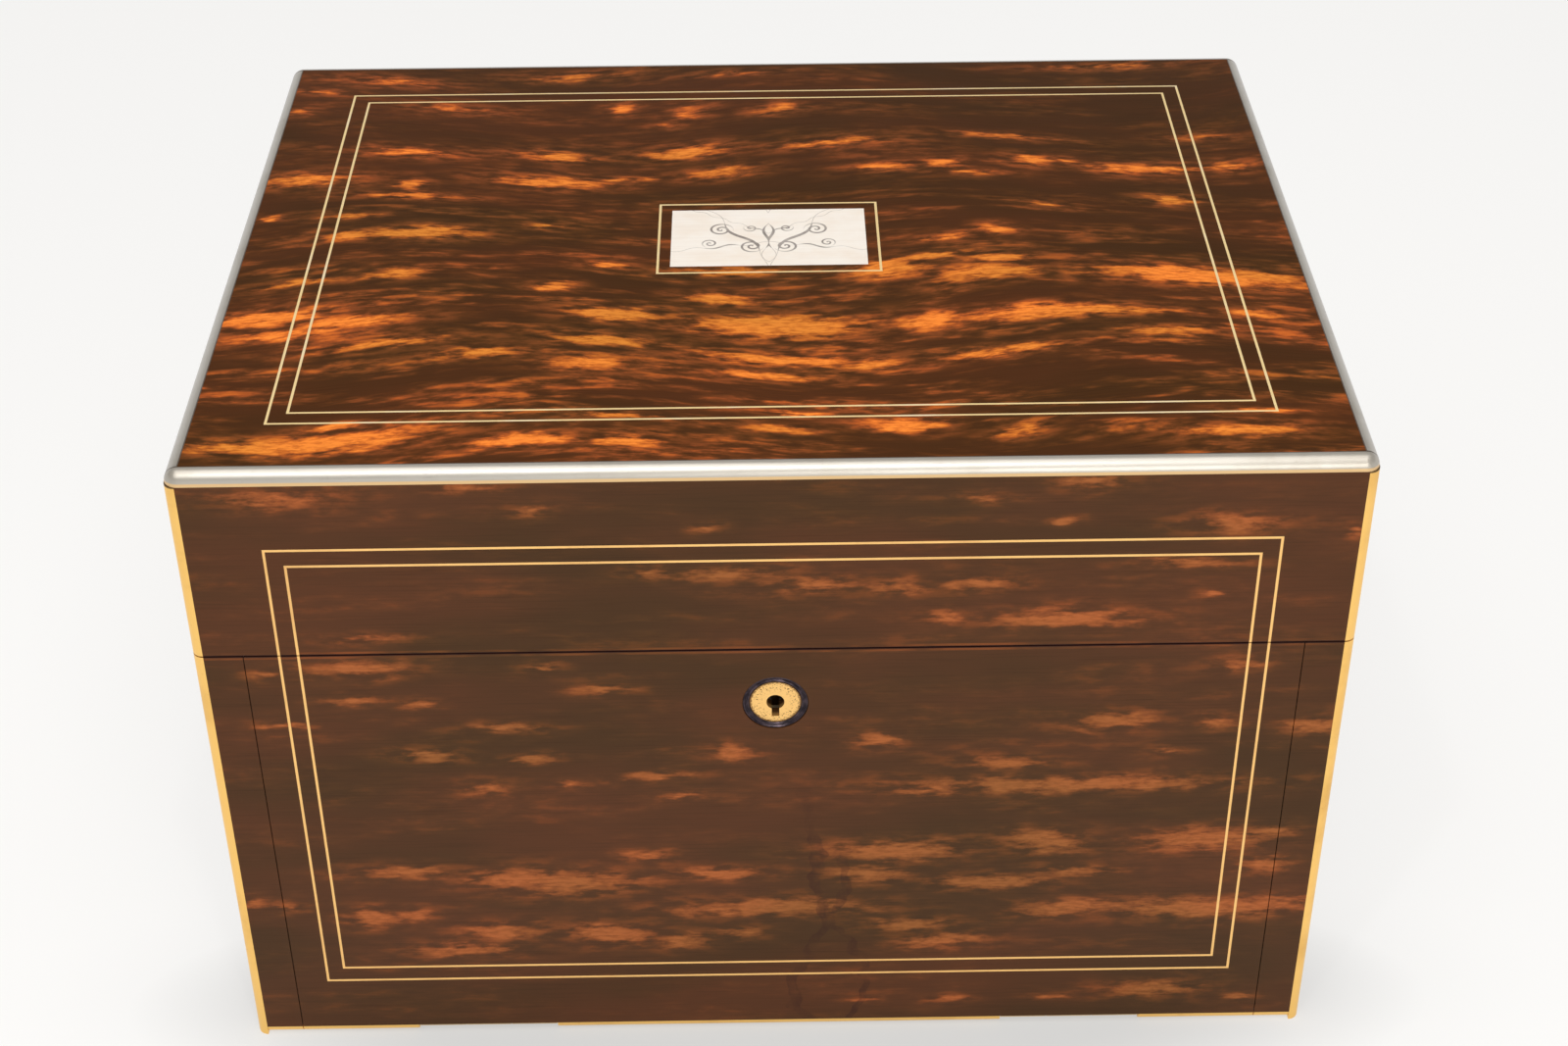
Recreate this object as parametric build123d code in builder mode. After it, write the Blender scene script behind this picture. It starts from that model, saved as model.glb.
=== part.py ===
from build123d import *
import os
from math import asin, degrees, hypot

# Antique fitted dressing box: a coromandel-veneered box with metal edging and double brass
# stringing, a lid that opens against a pair of quadrant stays, a fall front hinged along its foot
# that covers two drawers, a tray of bottles and jars, and a mirror that drops out of the lid.
# Millimetres. +X is to the right, +Y to the back, +Z up. The origin is on the underside, in the
# middle of the box and its hinge knuckles.

# ---------------------------------------------------------------- driving sizes: the case
box_width = 305.0
box_depth = 235.0  # front face to back face, without the lid's hinge knuckles
box_height = 198.0
seam_height = 140.5  # middle of the saw cut between the base and the lid
seam_gap = 0.4  # width of that cut
veneer = 1.0
side_thickness = 13.3  # each side, with its veneer
back_thickness = 10.0
lid_front_thickness = 12.0
lid_back_thickness = 12.0
lid_top_thickness = 9.0
glue_line = 0.05  # joint between two separate pieces of one group

# edging, stringing and plate
edging = 3.0  # quarter-round on the upright corners and along the foot
top_edging = 3.8  # quarter-round along the top
string_width = 0.7
string_depth = 0.6
string_pitch = 5.0  # outer line to inner line
string_inset = 22.5  # outer line in from the sides, the lid's front and its back
string_foot_inset = 21.3  # outer line of the front up from the foot
string_head_inset = 23.3  # outer line of the front down from the top
plate_width = 55.7
plate_depth = 32.8
plate_thickness = 0.6
plate_border_width = 63.4
plate_border_depth = 40.7

# fall front
fall_thickness = 11.0
fall_side_gap = 0.25
fall_swing_gap = 0.3
fall_foot_gap = 0.5
fall_lining = 0.8
fall_lining_margin = 7.0

# inside of the base
base_step = 1.0  # floor of the base above the inner face of the open fall
underside_lining_thickness = 1.2
inner_front_thickness = 6.0
drawer_height = 26.0
drawer_clearance = 0.3
drawer_side_clearance = 0.4
drawer_set_back = 8.0  # drawer face behind the inner face of the closed fall
drawer_rear_gap = 2.0
drawer_front_thickness = 5.0
drawer_wall = 4.0
drawer_bottom = 3.0
drawer_lip = 2.0  # drawer front above the drawer's sides
divider_thickness = 4.0
dust_board_thickness = 5.0
knob_radius = 3.5
knob_length = 6.0
knob_stem_radius = 1.6
knob_stem_length = 2.5
knob_spacing = 140.0

# tray and fittings
tray_gap = 0.4
tray_wall = 3.0
tray_floor = 3.0
tray_rim_drop = 12.0  # rim of the tray below the top of the base
wells_deep = 4  # square wells along each side of the tray
bottle_gap = 1.2
glass_wall = 4.0
glass_corner = 3.0
bottle_height = 57.0
bottle_shoulder = 6.0
bottle_mouth = 7.0
cap_width = 28.0
cap_height = 16.0
cap_bevel = 2.5
jar_height = 55.0
jar_lid_height = 11.0
jar_lid_bevel = 1.6
tool_pad_height = 38.0
tool_pad_gap = 0.3
tool_pad_round = 2.0

# lid hinges
lid_hinge_spacing = 180.0
lid_hinge_length = 50.0
lid_hinge_knuckles = 3
lid_axis_set_out = 0.6  # hinge axis behind the back face
lid_knuckle = 2.4
lid_hinge_leaf = 1.2
lid_hinge_leaf_depth = 9.0
lid_pin = 1.0

# fall hinges
fall_hinge_spacing = 170.0
fall_hinge_length = 40.0
fall_hinge_knuckles = 3
fall_knuckle = 2.4
fall_pin = 0.9
fall_hinge_leaf = 1.0
fall_hinge_leaf_gap = 0.2
fall_hinge_leaf_reach = 16.0  # base leaf under the base board
knuckle_gap = 0.3  # round a knuckle, and end to end
pin_fit = 0.05  # running clearance of a pin, on the radius

# quadrant stays
lid_opening = 95.0  # degrees
stay_radius = 30.0
stay_width = 4.0
stay_thickness = 1.6
stay_head_width = 7.0
stay_head_length = 4.0
stay_clearance = 0.4
stay_plate_thickness = 1.2
stay_plate_width = 7.0
stay_plate_length = 26.0

# lock
lock_width = 48.0
lock_height = 32.0
lock_depth = 7.0
lock_wall = 1.0
selvedge_width = 60.0
selvedge_thickness = 1.6
lock_centre_drop = 18.0  # keyhole below the top of the fall
lock_disc_radius = 6.8
lock_disc_sink = 0.5  # face of the disc below the face of the veneer
lock_ring_radius = 8.8
keyhole_radius = 2.4
keyhole_slot_width = 2.0
keyhole_slot_drop = 4.8
loop_spacing = 24.0
loop_thickness = 2.0
loop_width = 4.4
loop_length = 8.0
loop_eye = 2.8
loop_gap = 0.5
link_plate_width = 46.0
link_plate_thickness = 1.2
bolt_bar_height = 3.5
bolt_bar_width = 2.8
bolt_horn = 1.8
bolt_throw = 4.0

# mirror and wallet in the lid
wallet_thickness = 2.5
mirror_clearance = 1.2
mirror_frame_thickness = 6.0
mirror_frame_width = 12.0
mirror_rise = 4.5  # mirror frame below the wallet
mirror_pivot_inset = 3.0  # pivot in from the rear edge of the frame
mirror_rear_gap = 2.0
mirror_pivot_radius = 1.5
mirror_pivot_length = 10.0
mirror_pivot_depth = 4.0  # into the side of the lid
mirror_glass_thickness = 3.0
mirror_bevel = 1.0
mirror_rebate = 2.0
tab_width = 12.0
tab_length = 12.0
tab_thickness = 0.8

# ---------------------------------------------------------------- planes worked out from them
hinge_proud = lid_axis_set_out + lid_knuckle
front = -(box_depth + hinge_proud) / 2
back = front + box_depth
centre_y = (front + back) / 2
right = box_width / 2
inside_right = right - side_thickness
back_inside = back - back_thickness
base_top = seam_height - seam_gap / 2
lid_bottom = seam_height + seam_gap / 2
lid_axis_y = back + lid_axis_set_out
top_board_bottom = box_height - lid_top_thickness
lid_front_inside = front + lid_front_thickness
lid_back_inside = back - lid_back_thickness

fall_axis_y = front + edging
fall_axis_z = edging
fall_inside = front + fall_thickness
fall_reach = fall_thickness - edging
interior_front = fall_axis_y + hypot(fall_reach, fall_axis_z) + fall_swing_gap
fall_right = inside_right - fall_side_gap

base_board_top = fall_thickness + base_step
drawer_face = fall_inside + drawer_set_back
drawer_back = back_inside - drawer_rear_gap
lower_drawer_floor = base_board_top + drawer_clearance
divider_bottom = lower_drawer_floor + drawer_height + drawer_clearance
upper_drawer_floor = divider_bottom + divider_thickness + drawer_clearance
dust_board_bottom = upper_drawer_floor + drawer_height + drawer_clearance
dust_board_top = dust_board_bottom + dust_board_thickness
inner_front_back = interior_front + inner_front_thickness

sides = (-1, 1)


# ---------------------------------------------------------------- ways of working
def write(piece, node):
    """Label a finished piece and write it under the name of its node."""
    piece.part.label = node
    export_step(piece.part, f"parts/{node}.step")


def slab(x_span, y_span, z_span, mode=Mode.ADD):
    """A straight board of the piece being built, between two planes on each axis."""
    with BuildSketch(Plane.XY.offset(z_span[0])) as outline:
        with Locations((sum(x_span) / 2, sum(y_span) / 2)):
            Rectangle(x_span[1] - x_span[0], y_span[1] - y_span[0])
    extrude(outline.sketch, amount=z_span[1] - z_span[0], mode=mode)


def rod(x_span, y, z, radius, mode=Mode.ADD):
    """A round bar along X, or a bore where it cuts."""
    with BuildSketch(Plane.YZ.offset(x_span[0])) as section:
        with Locations((y, z)):
            Circle(radius)
    extrude(section.sketch, amount=x_span[1] - x_span[0], mode=mode)


def mirrored(side, near, far):
    """The span from near to far on the right side of the box, or its twin on the left."""
    return (near, far) if side > 0 else (-far, -near)


def string_lines(plane, x_half, low, high, thickness, mode=Mode.ADD):
    """Two rectangular lines of stringing, one inside the other, let in behind a plane."""
    for inset in (0, string_pitch):
        width = 2 * (x_half - inset)
        height = high - low - 2 * inset
        with BuildSketch(plane) as line:
            with Locations((0, (low + high) / 2)):
                Rectangle(width, height)
                Rectangle(width - 2 * string_width, height - 2 * string_width, mode=Mode.SUBTRACT)
        extrude(line.sketch, amount=-thickness, mode=mode)


def front_strings(mode=Mode.ADD):
    """The lines of the front, which run across the seam from the lid to the fall."""
    face = Plane.XZ.offset(-front)
    x_half = right - string_inset
    string_lines(face, x_half, string_foot_inset, box_height - string_head_inset, string_depth, mode)


def quarter_disc(plane, centre, radius, start):
    """The section of a quarter-round, from an angle in degrees to the one 90 degrees on."""
    with BuildSketch(plane) as section:
        with BuildLine():
            curve = CenterArc(centre, radius, start, 90)
            Line(centre, curve @ 0)
            Line(curve @ 1, centre)
        make_face()
    return section.sketch


def corner_quadrants(radius, z_span, mode=Mode.ADD):
    """Quarter-round strips on the four upright corners."""
    x = right - radius
    with BuildSketch(Plane.XY.offset(z_span[0])) as quadrants:
        with Locations((x, front + radius), (-x, front + radius), (x, back - radius), (-x, back - radius)):
            Circle(radius)
        with Locations((0, centre_y)):
            Rectangle(2 * x, box_depth, mode=Mode.SUBTRACT)
            Rectangle(box_width, box_depth - 2 * radius, mode=Mode.SUBTRACT)
    extrude(quadrants.sketch, amount=z_span[1] - z_span[0], mode=mode)


def hinge_leaves(axis_y, axis_z, knuckle, plate_y, plate_z, spacing, length, count, first):
    """The leaves of a pair of butt hinges on an axis along X, with every second knuckle.

    plate_y is the far edge of the leaf, and first says whether these leaves have the end
    knuckles or the ones between them.
    """
    pitch = length / count
    towards_leaf = 1 if plate_y > axis_y else -1
    plate_start = axis_y + towards_leaf * (knuckle + knuckle_gap)
    for side in sides:
        start = side * spacing / 2 - length / 2
        slab((start, start + length), sorted((plate_start, plate_y)), plate_z)
        for index in range(first, count, 2):
            near = start + index * pitch + knuckle_gap / 2
            far = start + (index + 1) * pitch - knuckle_gap / 2
            rod((near, far), axis_y, axis_z, knuckle)
            slab((near, far), sorted((axis_y, plate_start)), plate_z)


def hinge_pins(axis_y, axis_z, spacing, length, count, radius):
    """The pins of a pair of hinges, from one outer knuckle to the other through the middle."""
    pitch = length / count
    for side in sides:
        start = side * spacing / 2 - length / 2
        for index in range(1, count, 2):
            near = start + index * pitch - knuckle_gap / 2 + glue_line
            far = start + (index + 1) * pitch + knuckle_gap / 2 - glue_line
            rod((near, far), axis_y, axis_z, radius)


def hinge_bores(axis_y, axis_z, spacing, length, radius):
    """The bores in the middle knuckles of a pair of hinges, that turn on their pins."""
    for side in sides:
        start = side * spacing / 2 - length / 2
        rod((start, start + length), axis_y, axis_z, radius, Mode.SUBTRACT)


def hinge_room(axis_y, axis_z, knuckle, spacing, length):
    """Cut the round room of a pair of butt hinges out of the piece being built."""
    for side in sides:
        start = side * spacing / 2 - length / 2 - knuckle_gap
        rod((start, start + length + 2 * knuckle_gap), axis_y, axis_z, knuckle + knuckle_gap, Mode.SUBTRACT)


def arc_band(x_span, inner, outer, start, sweep, mode=Mode.ADD):
    """A flat curved bar about the lid's hinge axis, standing in the YZ plane."""
    centre = (lid_axis_y, seam_height)
    with BuildSketch(Plane.YZ.offset(x_span[0])) as band:
        with BuildLine():
            outside = CenterArc(centre, outer, start, sweep)
            inside = CenterArc(centre, inner, start, sweep)
            Line(outside @ 0, inside @ 0)
            Line(outside @ 1, inside @ 1)
        make_face()
    extrude(band.sketch, amount=x_span[1] - x_span[0], mode=mode)


# ---------------------------------------------------------------- quadrant stays
# Each stay is a quadrant about the hinge axis. It slides through a slotted plate in the edge of
# the base and through another in the edge of the lid, turns half as far as the lid, and holds the
# lid when its heads come up under the two plates.
stay_x = inside_right + (side_thickness - veneer) / 2
stay_head_angle = degrees(stay_head_length / stay_radius)
stay_stop_angle = degrees(asin((stay_plate_thickness + 2 * stay_clearance) / stay_radius))
stay_reach = lid_opening / 2 + stay_head_angle + stay_stop_angle
stay_pocket_reach = stay_reach + degrees(2 * stay_clearance / stay_radius)
towards_front = 180  # degrees, from +Y to the side of the axis where the stays are


def stay_pocket(side, downwards):
    """Cut the curved mortise of a stay into a side of the base or of the lid."""
    half = stay_thickness / 2 + stay_clearance
    reach = stay_pocket_reach if downwards else -stay_pocket_reach
    inner = stay_radius - stay_head_width / 2 - stay_clearance
    outer = stay_radius + stay_head_width / 2 + stay_clearance
    x_span = mirrored(side, stay_x - half, stay_x + half)
    arc_band(x_span, inner, outer, towards_front, reach, Mode.SUBTRACT)


def stay_plates(z_span, mode=Mode.ADD):
    """The plates let into the edge round each stay, or the recesses that they lie in."""
    middle = lid_axis_y - stay_radius
    half = stay_plate_length / 2
    for side in sides:
        x_span = mirrored(side, stay_x - stay_plate_width / 2, stay_x + stay_plate_width / 2)
        slab(x_span, (middle - half, middle + half), z_span, mode)


def stay_slots(z_span):
    """The slots that the stays slide through."""
    middle = lid_axis_y - stay_radius
    half = stay_width / 2 + stay_clearance
    half_x = stay_thickness / 2 + stay_clearance
    for side in sides:
        x_span = mirrored(side, stay_x - half_x, stay_x + half_x)
        slab(x_span, (middle - half, middle + half), z_span, Mode.SUBTRACT)


with BuildPart() as quadrant_stays:
    for side in sides:
        x_span = mirrored(side, stay_x - stay_thickness / 2, stay_x + stay_thickness / 2)
        inner = stay_radius - stay_width / 2
        outer = stay_radius + stay_width / 2
        arc_band(x_span, inner, outer, towards_front - stay_reach, 2 * stay_reach)
        inner = stay_radius - stay_head_width / 2
        outer = stay_radius + stay_head_width / 2
        arc_band(x_span, inner, outer, towards_front - stay_reach, stay_head_angle)
        arc_band(x_span, inner, outer, towards_front + stay_reach, -stay_head_angle)
write(quadrant_stays, "quadrant_stays")

base_stay_plate_z = (base_top - stay_plate_thickness, base_top)
with BuildPart() as quadrant_base_plates:
    stay_plates(base_stay_plate_z)
    stay_slots(base_stay_plate_z)
write(quadrant_base_plates, "quadrant_base_plates")

lid_stay_plate_z = (lid_bottom, lid_bottom + stay_plate_thickness)
with BuildPart() as quadrant_lid_plates:
    stay_plates(lid_stay_plate_z)
    stay_slots(lid_stay_plate_z)
write(quadrant_lid_plates, "quadrant_lid_plates")

# ---------------------------------------------------------------- carcase
# sides: rebated round their outer edges for the edging and mortised for the stays
with BuildPart() as side_boards:
    for side in sides:
        slab(mirrored(side, inside_right, right - veneer), (front + veneer, back - veneer), (0, base_top))
        stay_pocket(side, downwards=True)
        rebate = mirrored(side, right - edging, right)
        slab(rebate, (front, back), (0, edging), Mode.SUBTRACT)
        slab(rebate, (front, front + edging), (0, base_top), Mode.SUBTRACT)
        slab(rebate, (back - edging, back), (0, base_top), Mode.SUBTRACT)
    slab((-right, right), (front, front + edging), (0, edging), Mode.SUBTRACT)
    slab((-right, right), (back - edging, back), (0, edging), Mode.SUBTRACT)
    stay_plates(base_stay_plate_z, Mode.SUBTRACT)
write(side_boards, "side_boards")

lid_hinge_base_z = (base_top - lid_hinge_leaf, base_top)
lid_hinge_far = back - lid_hinge_leaf_depth


def lid_hinge_mortise(z_span):
    """Cut the shallow mortises of the lid hinges' leaves."""
    for side in sides:
        start = side * lid_hinge_spacing / 2 - lid_hinge_length / 2
        slab((start, start + lid_hinge_length), (lid_hinge_far, back), z_span, Mode.SUBTRACT)


with BuildPart() as back_board:
    slab((-inside_right, inside_right), (back_inside, back - veneer), (0, base_top))
    slab((-inside_right, inside_right), (back - edging, back), (0, edging), Mode.SUBTRACT)
    lid_hinge_mortise(lid_hinge_base_z)
    hinge_room(lid_axis_y, seam_height, lid_knuckle, lid_hinge_spacing, lid_hinge_length)
write(back_board, "back_board")

fall_leaf_bottom = fall_axis_z - fall_knuckle
fall_leaf_base_z = (fall_leaf_bottom, fall_leaf_bottom + fall_hinge_leaf)
fall_leaf_far = interior_front + fall_hinge_leaf_reach


def fall_hinge_mortise(z_span):
    """Cut the shallow mortises of the fall hinges' base leaves."""
    for side in sides:
        start = side * fall_hinge_spacing / 2 - fall_hinge_length / 2
        slab((start, start + fall_hinge_length), (interior_front, fall_leaf_far), z_span, Mode.SUBTRACT)


with BuildPart() as base_board:
    floor_z = (underside_lining_thickness, base_board_top)
    slab((-inside_right, inside_right), (interior_front, back_inside), floor_z)
    fall_hinge_mortise((0, fall_leaf_base_z[1]))
write(base_board, "base_board")

with BuildPart() as underside_lining:
    slab((-inside_right, inside_right), (interior_front, back_inside), (0, underside_lining_thickness))
    fall_hinge_mortise((0, fall_leaf_base_z[1]))
write(underside_lining, "underside_lining")

with BuildPart() as inner_front_board:
    slab((-inside_right, inside_right), (interior_front, inner_front_back), (dust_board_bottom, base_top))
write(inner_front_board, "inner_front_board")

with BuildPart() as dust_board:
    dust_board_z = (dust_board_bottom, dust_board_top)
    slab((-inside_right, inside_right), (inner_front_back, back_inside), dust_board_z)
write(dust_board, "dust_board")

with BuildPart() as drawer_divider:
    divider_z = (divider_bottom, divider_bottom + divider_thickness)
    slab((-inside_right, inside_right), (drawer_face, back_inside), divider_z)
write(drawer_divider, "drawer_divider")

# veneers of the base: two sides and the back, and the stiles beside the fall
with BuildPart() as base_veneers:
    for side in sides:
        slab(mirrored(side, right - veneer, right), (front + edging, back - edging), (edging, base_top))
        slab(mirrored(side, inside_right, right - edging), (front, front + veneer), (edging, base_top))
    slab((-right + edging, right - edging), (back - veneer, back), (edging, base_top))
    hinge_room(lid_axis_y, seam_height, lid_knuckle, lid_hinge_spacing, lid_hinge_length)
write(base_veneers, "base_veneers")

with BuildPart() as base_corner_edging:
    corner_quadrants(edging, (0, base_top))
write(base_corner_edging, "base_corner_edging")

# foot edging: a strip along each side and the back, and a short one across the foot of each
# stile, all butted against the corner edging
with BuildPart() as base_foot_edging:
    corner_x = right - edging
    strip_ends = (front + edging, back - edging)
    side_strip_length = strip_ends[1] - strip_ends[0] - 2 * glue_line
    for side in sides:
        lower_outer = 180 if side < 0 else 270
        side_plane = Plane.XZ.offset(-strip_ends[0] - glue_line)
        strip = quarter_disc(side_plane, (side * corner_x, edging), edging, lower_outer)
        extrude(strip, amount=-side_strip_length)
        stub_start = mirrored(side, inside_right, corner_x - glue_line)[0]
        stub = quarter_disc(Plane.YZ.offset(stub_start), (strip_ends[0], edging), edging, 180)
        extrude(stub, amount=corner_x - glue_line - inside_right)
    back_strip_x = corner_x - glue_line
    back_strip = quarter_disc(Plane.YZ.offset(-back_strip_x), (strip_ends[1], edging), edging, 270)
    extrude(back_strip, amount=2 * back_strip_x)
write(base_foot_edging, "base_foot_edging")

# ---------------------------------------------------------------- lid hinges
with BuildPart() as lid_hinge_base_leaves:
    hinge_leaves(lid_axis_y, seam_height, lid_knuckle, lid_hinge_far, lid_hinge_base_z,
                 lid_hinge_spacing, lid_hinge_length, lid_hinge_knuckles, 0)
write(lid_hinge_base_leaves, "lid_hinge_base_leaves")

lid_hinge_lid_z = (lid_bottom, lid_bottom + lid_hinge_leaf)
with BuildPart() as lid_hinge_lid_leaves:
    hinge_leaves(lid_axis_y, seam_height, lid_knuckle, lid_hinge_far, lid_hinge_lid_z,
                 lid_hinge_spacing, lid_hinge_length, lid_hinge_knuckles, 1)
    hinge_bores(lid_axis_y, seam_height, lid_hinge_spacing, lid_hinge_length, lid_pin + pin_fit)
write(lid_hinge_lid_leaves, "lid_hinge_lid_leaves")

# ---------------------------------------------------------------- lid
with BuildPart() as lid_side_rails:
    rail_z = (lid_bottom, top_board_bottom)
    for side in sides:
        slab(mirrored(side, inside_right, right - veneer), (front + veneer, back - veneer), rail_z)
        stay_pocket(side, downwards=False)
        rebate = mirrored(side, right - edging, right)
        slab(rebate, (front, front + edging), rail_z, Mode.SUBTRACT)
        slab(rebate, (back - edging, back), rail_z, Mode.SUBTRACT)
    stay_plates(lid_stay_plate_z, Mode.SUBTRACT)
    mirror_top = top_board_bottom - wallet_thickness - mirror_rise
    mirror_bottom = mirror_top - mirror_frame_thickness
    mirror_axis_z = (mirror_top + mirror_bottom) / 2
    mirror_back = lid_back_inside - mirror_rear_gap
    mirror_axis_y = mirror_back - mirror_pivot_inset
    pivot_end = inside_right + mirror_pivot_depth
    rod((-pivot_end, pivot_end), mirror_axis_y, mirror_axis_z, mirror_pivot_radius + pin_fit, Mode.SUBTRACT)
write(lid_side_rails, "lid_side_rails")

link_centre_y = fall_inside - lock_depth / 2
link_y = (link_centre_y - lock_depth / 2 + loop_gap, link_centre_y + lock_depth / 2)
link_z = (lid_bottom, lid_bottom + link_plate_thickness)
with BuildPart() as lid_front_rail:
    slab((-inside_right, inside_right), (front + veneer, lid_front_inside), (lid_bottom, top_board_bottom))
    slab((-link_plate_width / 2, link_plate_width / 2), link_y, link_z, Mode.SUBTRACT)
write(lid_front_rail, "lid_front_rail")

with BuildPart() as lid_back_rail:
    slab((-inside_right, inside_right), (lid_back_inside, back - veneer), (lid_bottom, top_board_bottom))
    lid_hinge_mortise(lid_hinge_lid_z)
    hinge_room(lid_axis_y, seam_height, lid_knuckle, lid_hinge_spacing, lid_hinge_length)
write(lid_back_rail, "lid_back_rail")

top_rebate_z = (box_height - top_edging, box_height)
with BuildPart() as lid_top_board:
    board_x = right - veneer
    slab((-board_x, board_x), (front + veneer, back - veneer), (top_board_bottom, box_height - veneer))
    for side in sides:
        slab(mirrored(side, right - top_edging, right), (front, back), top_rebate_z, Mode.SUBTRACT)
        slab(mirrored(side, right - edging, right), (front, front + edging), (0, box_height), Mode.SUBTRACT)
        slab(mirrored(side, right - edging, right), (back - edging, back), (0, box_height), Mode.SUBTRACT)
    slab((-right, right), (front, front + top_edging), top_rebate_z, Mode.SUBTRACT)
    slab((-right, right), (back - top_edging, back), top_rebate_z, Mode.SUBTRACT)
write(lid_top_board, "lid_top_board")

lid_veneer_z = (lid_bottom, box_height - top_edging)
with BuildPart() as lid_side_veneers:
    for side in sides:
        slab(mirrored(side, right - veneer, right), (front + edging, back - edging), lid_veneer_z)
    slab((-right + edging, right - edging), (back - veneer, back), lid_veneer_z)
    hinge_room(lid_axis_y, seam_height, lid_knuckle, lid_hinge_spacing, lid_hinge_length)
write(lid_side_veneers, "lid_side_veneers")

with BuildPart() as lid_front_veneer:
    slab((-right + edging, right - edging), (front, front + veneer), lid_veneer_z)
    front_strings(Mode.SUBTRACT)
write(lid_front_veneer, "lid_front_veneer")

with BuildPart() as lid_front_stringing:
    front_strings()
    slab((-right, right), (front, back), (0, lid_bottom), Mode.SUBTRACT)
write(lid_front_stringing, "lid_front_stringing")

top_face = Plane.XY.offset(box_height)


def plate_recess(thickness, mode=Mode.ADD):
    """The plate in the middle of the lid, or the recess that it lies in."""
    with BuildSketch(top_face) as outline:
        with Locations((0, centre_y)):
            Rectangle(plate_width, plate_depth)
    extrude(outline.sketch, amount=-thickness, mode=mode)


def plate_border(mode=Mode.ADD):
    """The single line of stringing round the plate."""
    with BuildSketch(top_face) as line:
        with Locations((0, centre_y)):
            Rectangle(plate_border_width, plate_border_depth)
            inner_width = plate_border_width - 2 * string_width
            Rectangle(inner_width, plate_border_depth - 2 * string_width, mode=Mode.SUBTRACT)
    extrude(line.sketch, amount=-string_depth, mode=mode)


string_right = right - string_inset
string_front = front + string_inset
string_back = back - string_inset
with BuildPart() as lid_top_veneer:
    field_x = right - top_edging
    field_y = (front + top_edging, back - top_edging)
    slab((-field_x, field_x), field_y, (box_height - veneer, box_height))
    string_lines(top_face, string_right, string_front, string_back, string_depth, Mode.SUBTRACT)
    plate_border(Mode.SUBTRACT)
    plate_recess(plate_thickness, Mode.SUBTRACT)
write(lid_top_veneer, "lid_top_veneer")

with BuildPart() as lid_top_stringing:
    string_lines(top_face, string_right, string_front, string_back, string_depth)
    plate_border()
write(lid_top_stringing, "lid_top_stringing")

with BuildPart() as lid_plate:
    plate_recess(plate_thickness)
write(lid_plate, "lid_plate")

with BuildPart() as lid_corner_edging:
    corner_quadrants(edging, (lid_bottom, box_height - top_edging - glue_line))
write(lid_corner_edging, "lid_corner_edging")

# top edging: front and back strips with rounded ends, and side strips that butt against them
with BuildPart() as lid_top_edging:
    end_x = right - top_edging
    edge_z = box_height - top_edging
    strip_ends = (front + top_edging, back - top_edging)
    for end, upper_outer in zip(strip_ends, (90, 0)):
        strip = quarter_disc(Plane.YZ.offset(-end_x), (end, edge_z), top_edging, upper_outer)
        extrude(strip, amount=2 * end_x)
        for side in sides:
            end_face = quarter_disc(Plane.YZ.offset(side * end_x), (end, edge_z), top_edging, upper_outer)
            turn = 90 if side * (end - centre_y) < 0 else -90
            revolve(end_face, axis=Axis((side * end_x, end, 0), (0, 0, 1)), revolution_arc=turn)
    for side in sides:
        side_plane = Plane.XZ.offset(-strip_ends[0] - glue_line)
        upper_outer = 90 if side < 0 else 0
        strip = quarter_disc(side_plane, (side * end_x, edge_z), top_edging, upper_outer)
        extrude(strip, amount=strip_ends[0] - strip_ends[1] + 2 * glue_line)
write(lid_top_edging, "lid_top_edging")

# document wallet against the top of the lid, behind the mirror
with BuildPart() as document_wallet:
    wallet_x = inside_right - mirror_clearance
    wallet_y = (lid_front_inside + mirror_clearance, lid_back_inside - mirror_clearance)
    slab((-wallet_x, wallet_x), wallet_y, (top_board_bottom - wallet_thickness, top_board_bottom))
write(document_wallet, "document_wallet")

# ---------------------------------------------------------------- mirror
frame_x = inside_right - mirror_clearance
frame_front = lid_front_inside + mirror_clearance
frame_centre_y = (frame_front + mirror_back) / 2
frame_depth = mirror_back - frame_front
sight_width = 2 * (frame_x - mirror_frame_width)
sight_depth = frame_depth - 2 * mirror_frame_width
pivot_inner = frame_x - mirror_pivot_length + mirror_pivot_depth
with BuildPart() as mirror_frame:
    with BuildSketch(Plane.XY.offset(mirror_bottom)) as frame_outline:
        with Locations((0, frame_centre_y)):
            Rectangle(2 * frame_x, frame_depth)
            Rectangle(sight_width, sight_depth, mode=Mode.SUBTRACT)
    extrude(amount=mirror_frame_thickness)
    with BuildSketch(Plane.XY.offset(mirror_top)):
        with Locations((0, frame_centre_y)):
            Rectangle(sight_width + 2 * mirror_rebate, sight_depth + 2 * mirror_rebate)
    extrude(amount=-(mirror_frame_thickness - mirror_rebate), mode=Mode.SUBTRACT)
    for side in sides:
        rod(mirrored(side, pivot_inner, frame_x), mirror_axis_y, mirror_axis_z,
            mirror_pivot_radius, Mode.SUBTRACT)
write(mirror_frame, "mirror_frame")

with BuildPart() as mirror_glass:
    glass_bottom = mirror_bottom + mirror_rebate
    with BuildSketch(Plane.XY.offset(glass_bottom)):
        with Locations((0, frame_centre_y)):
            Rectangle(sight_width + 2 * mirror_rebate, sight_depth + 2 * mirror_rebate)
    extrude(amount=mirror_glass_thickness)
    chamfer(mirror_glass.faces().sort_by(Axis.Z)[0].edges(), mirror_bevel, 2 * mirror_bevel)
write(mirror_glass, "mirror_glass")

with BuildPart() as mirror_pivots:
    for side in sides:
        rod(mirrored(side, pivot_inner, inside_right + mirror_pivot_depth - seam_gap),
            mirror_axis_y, mirror_axis_z, mirror_pivot_radius)
write(mirror_pivots, "mirror_pivots")

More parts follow.
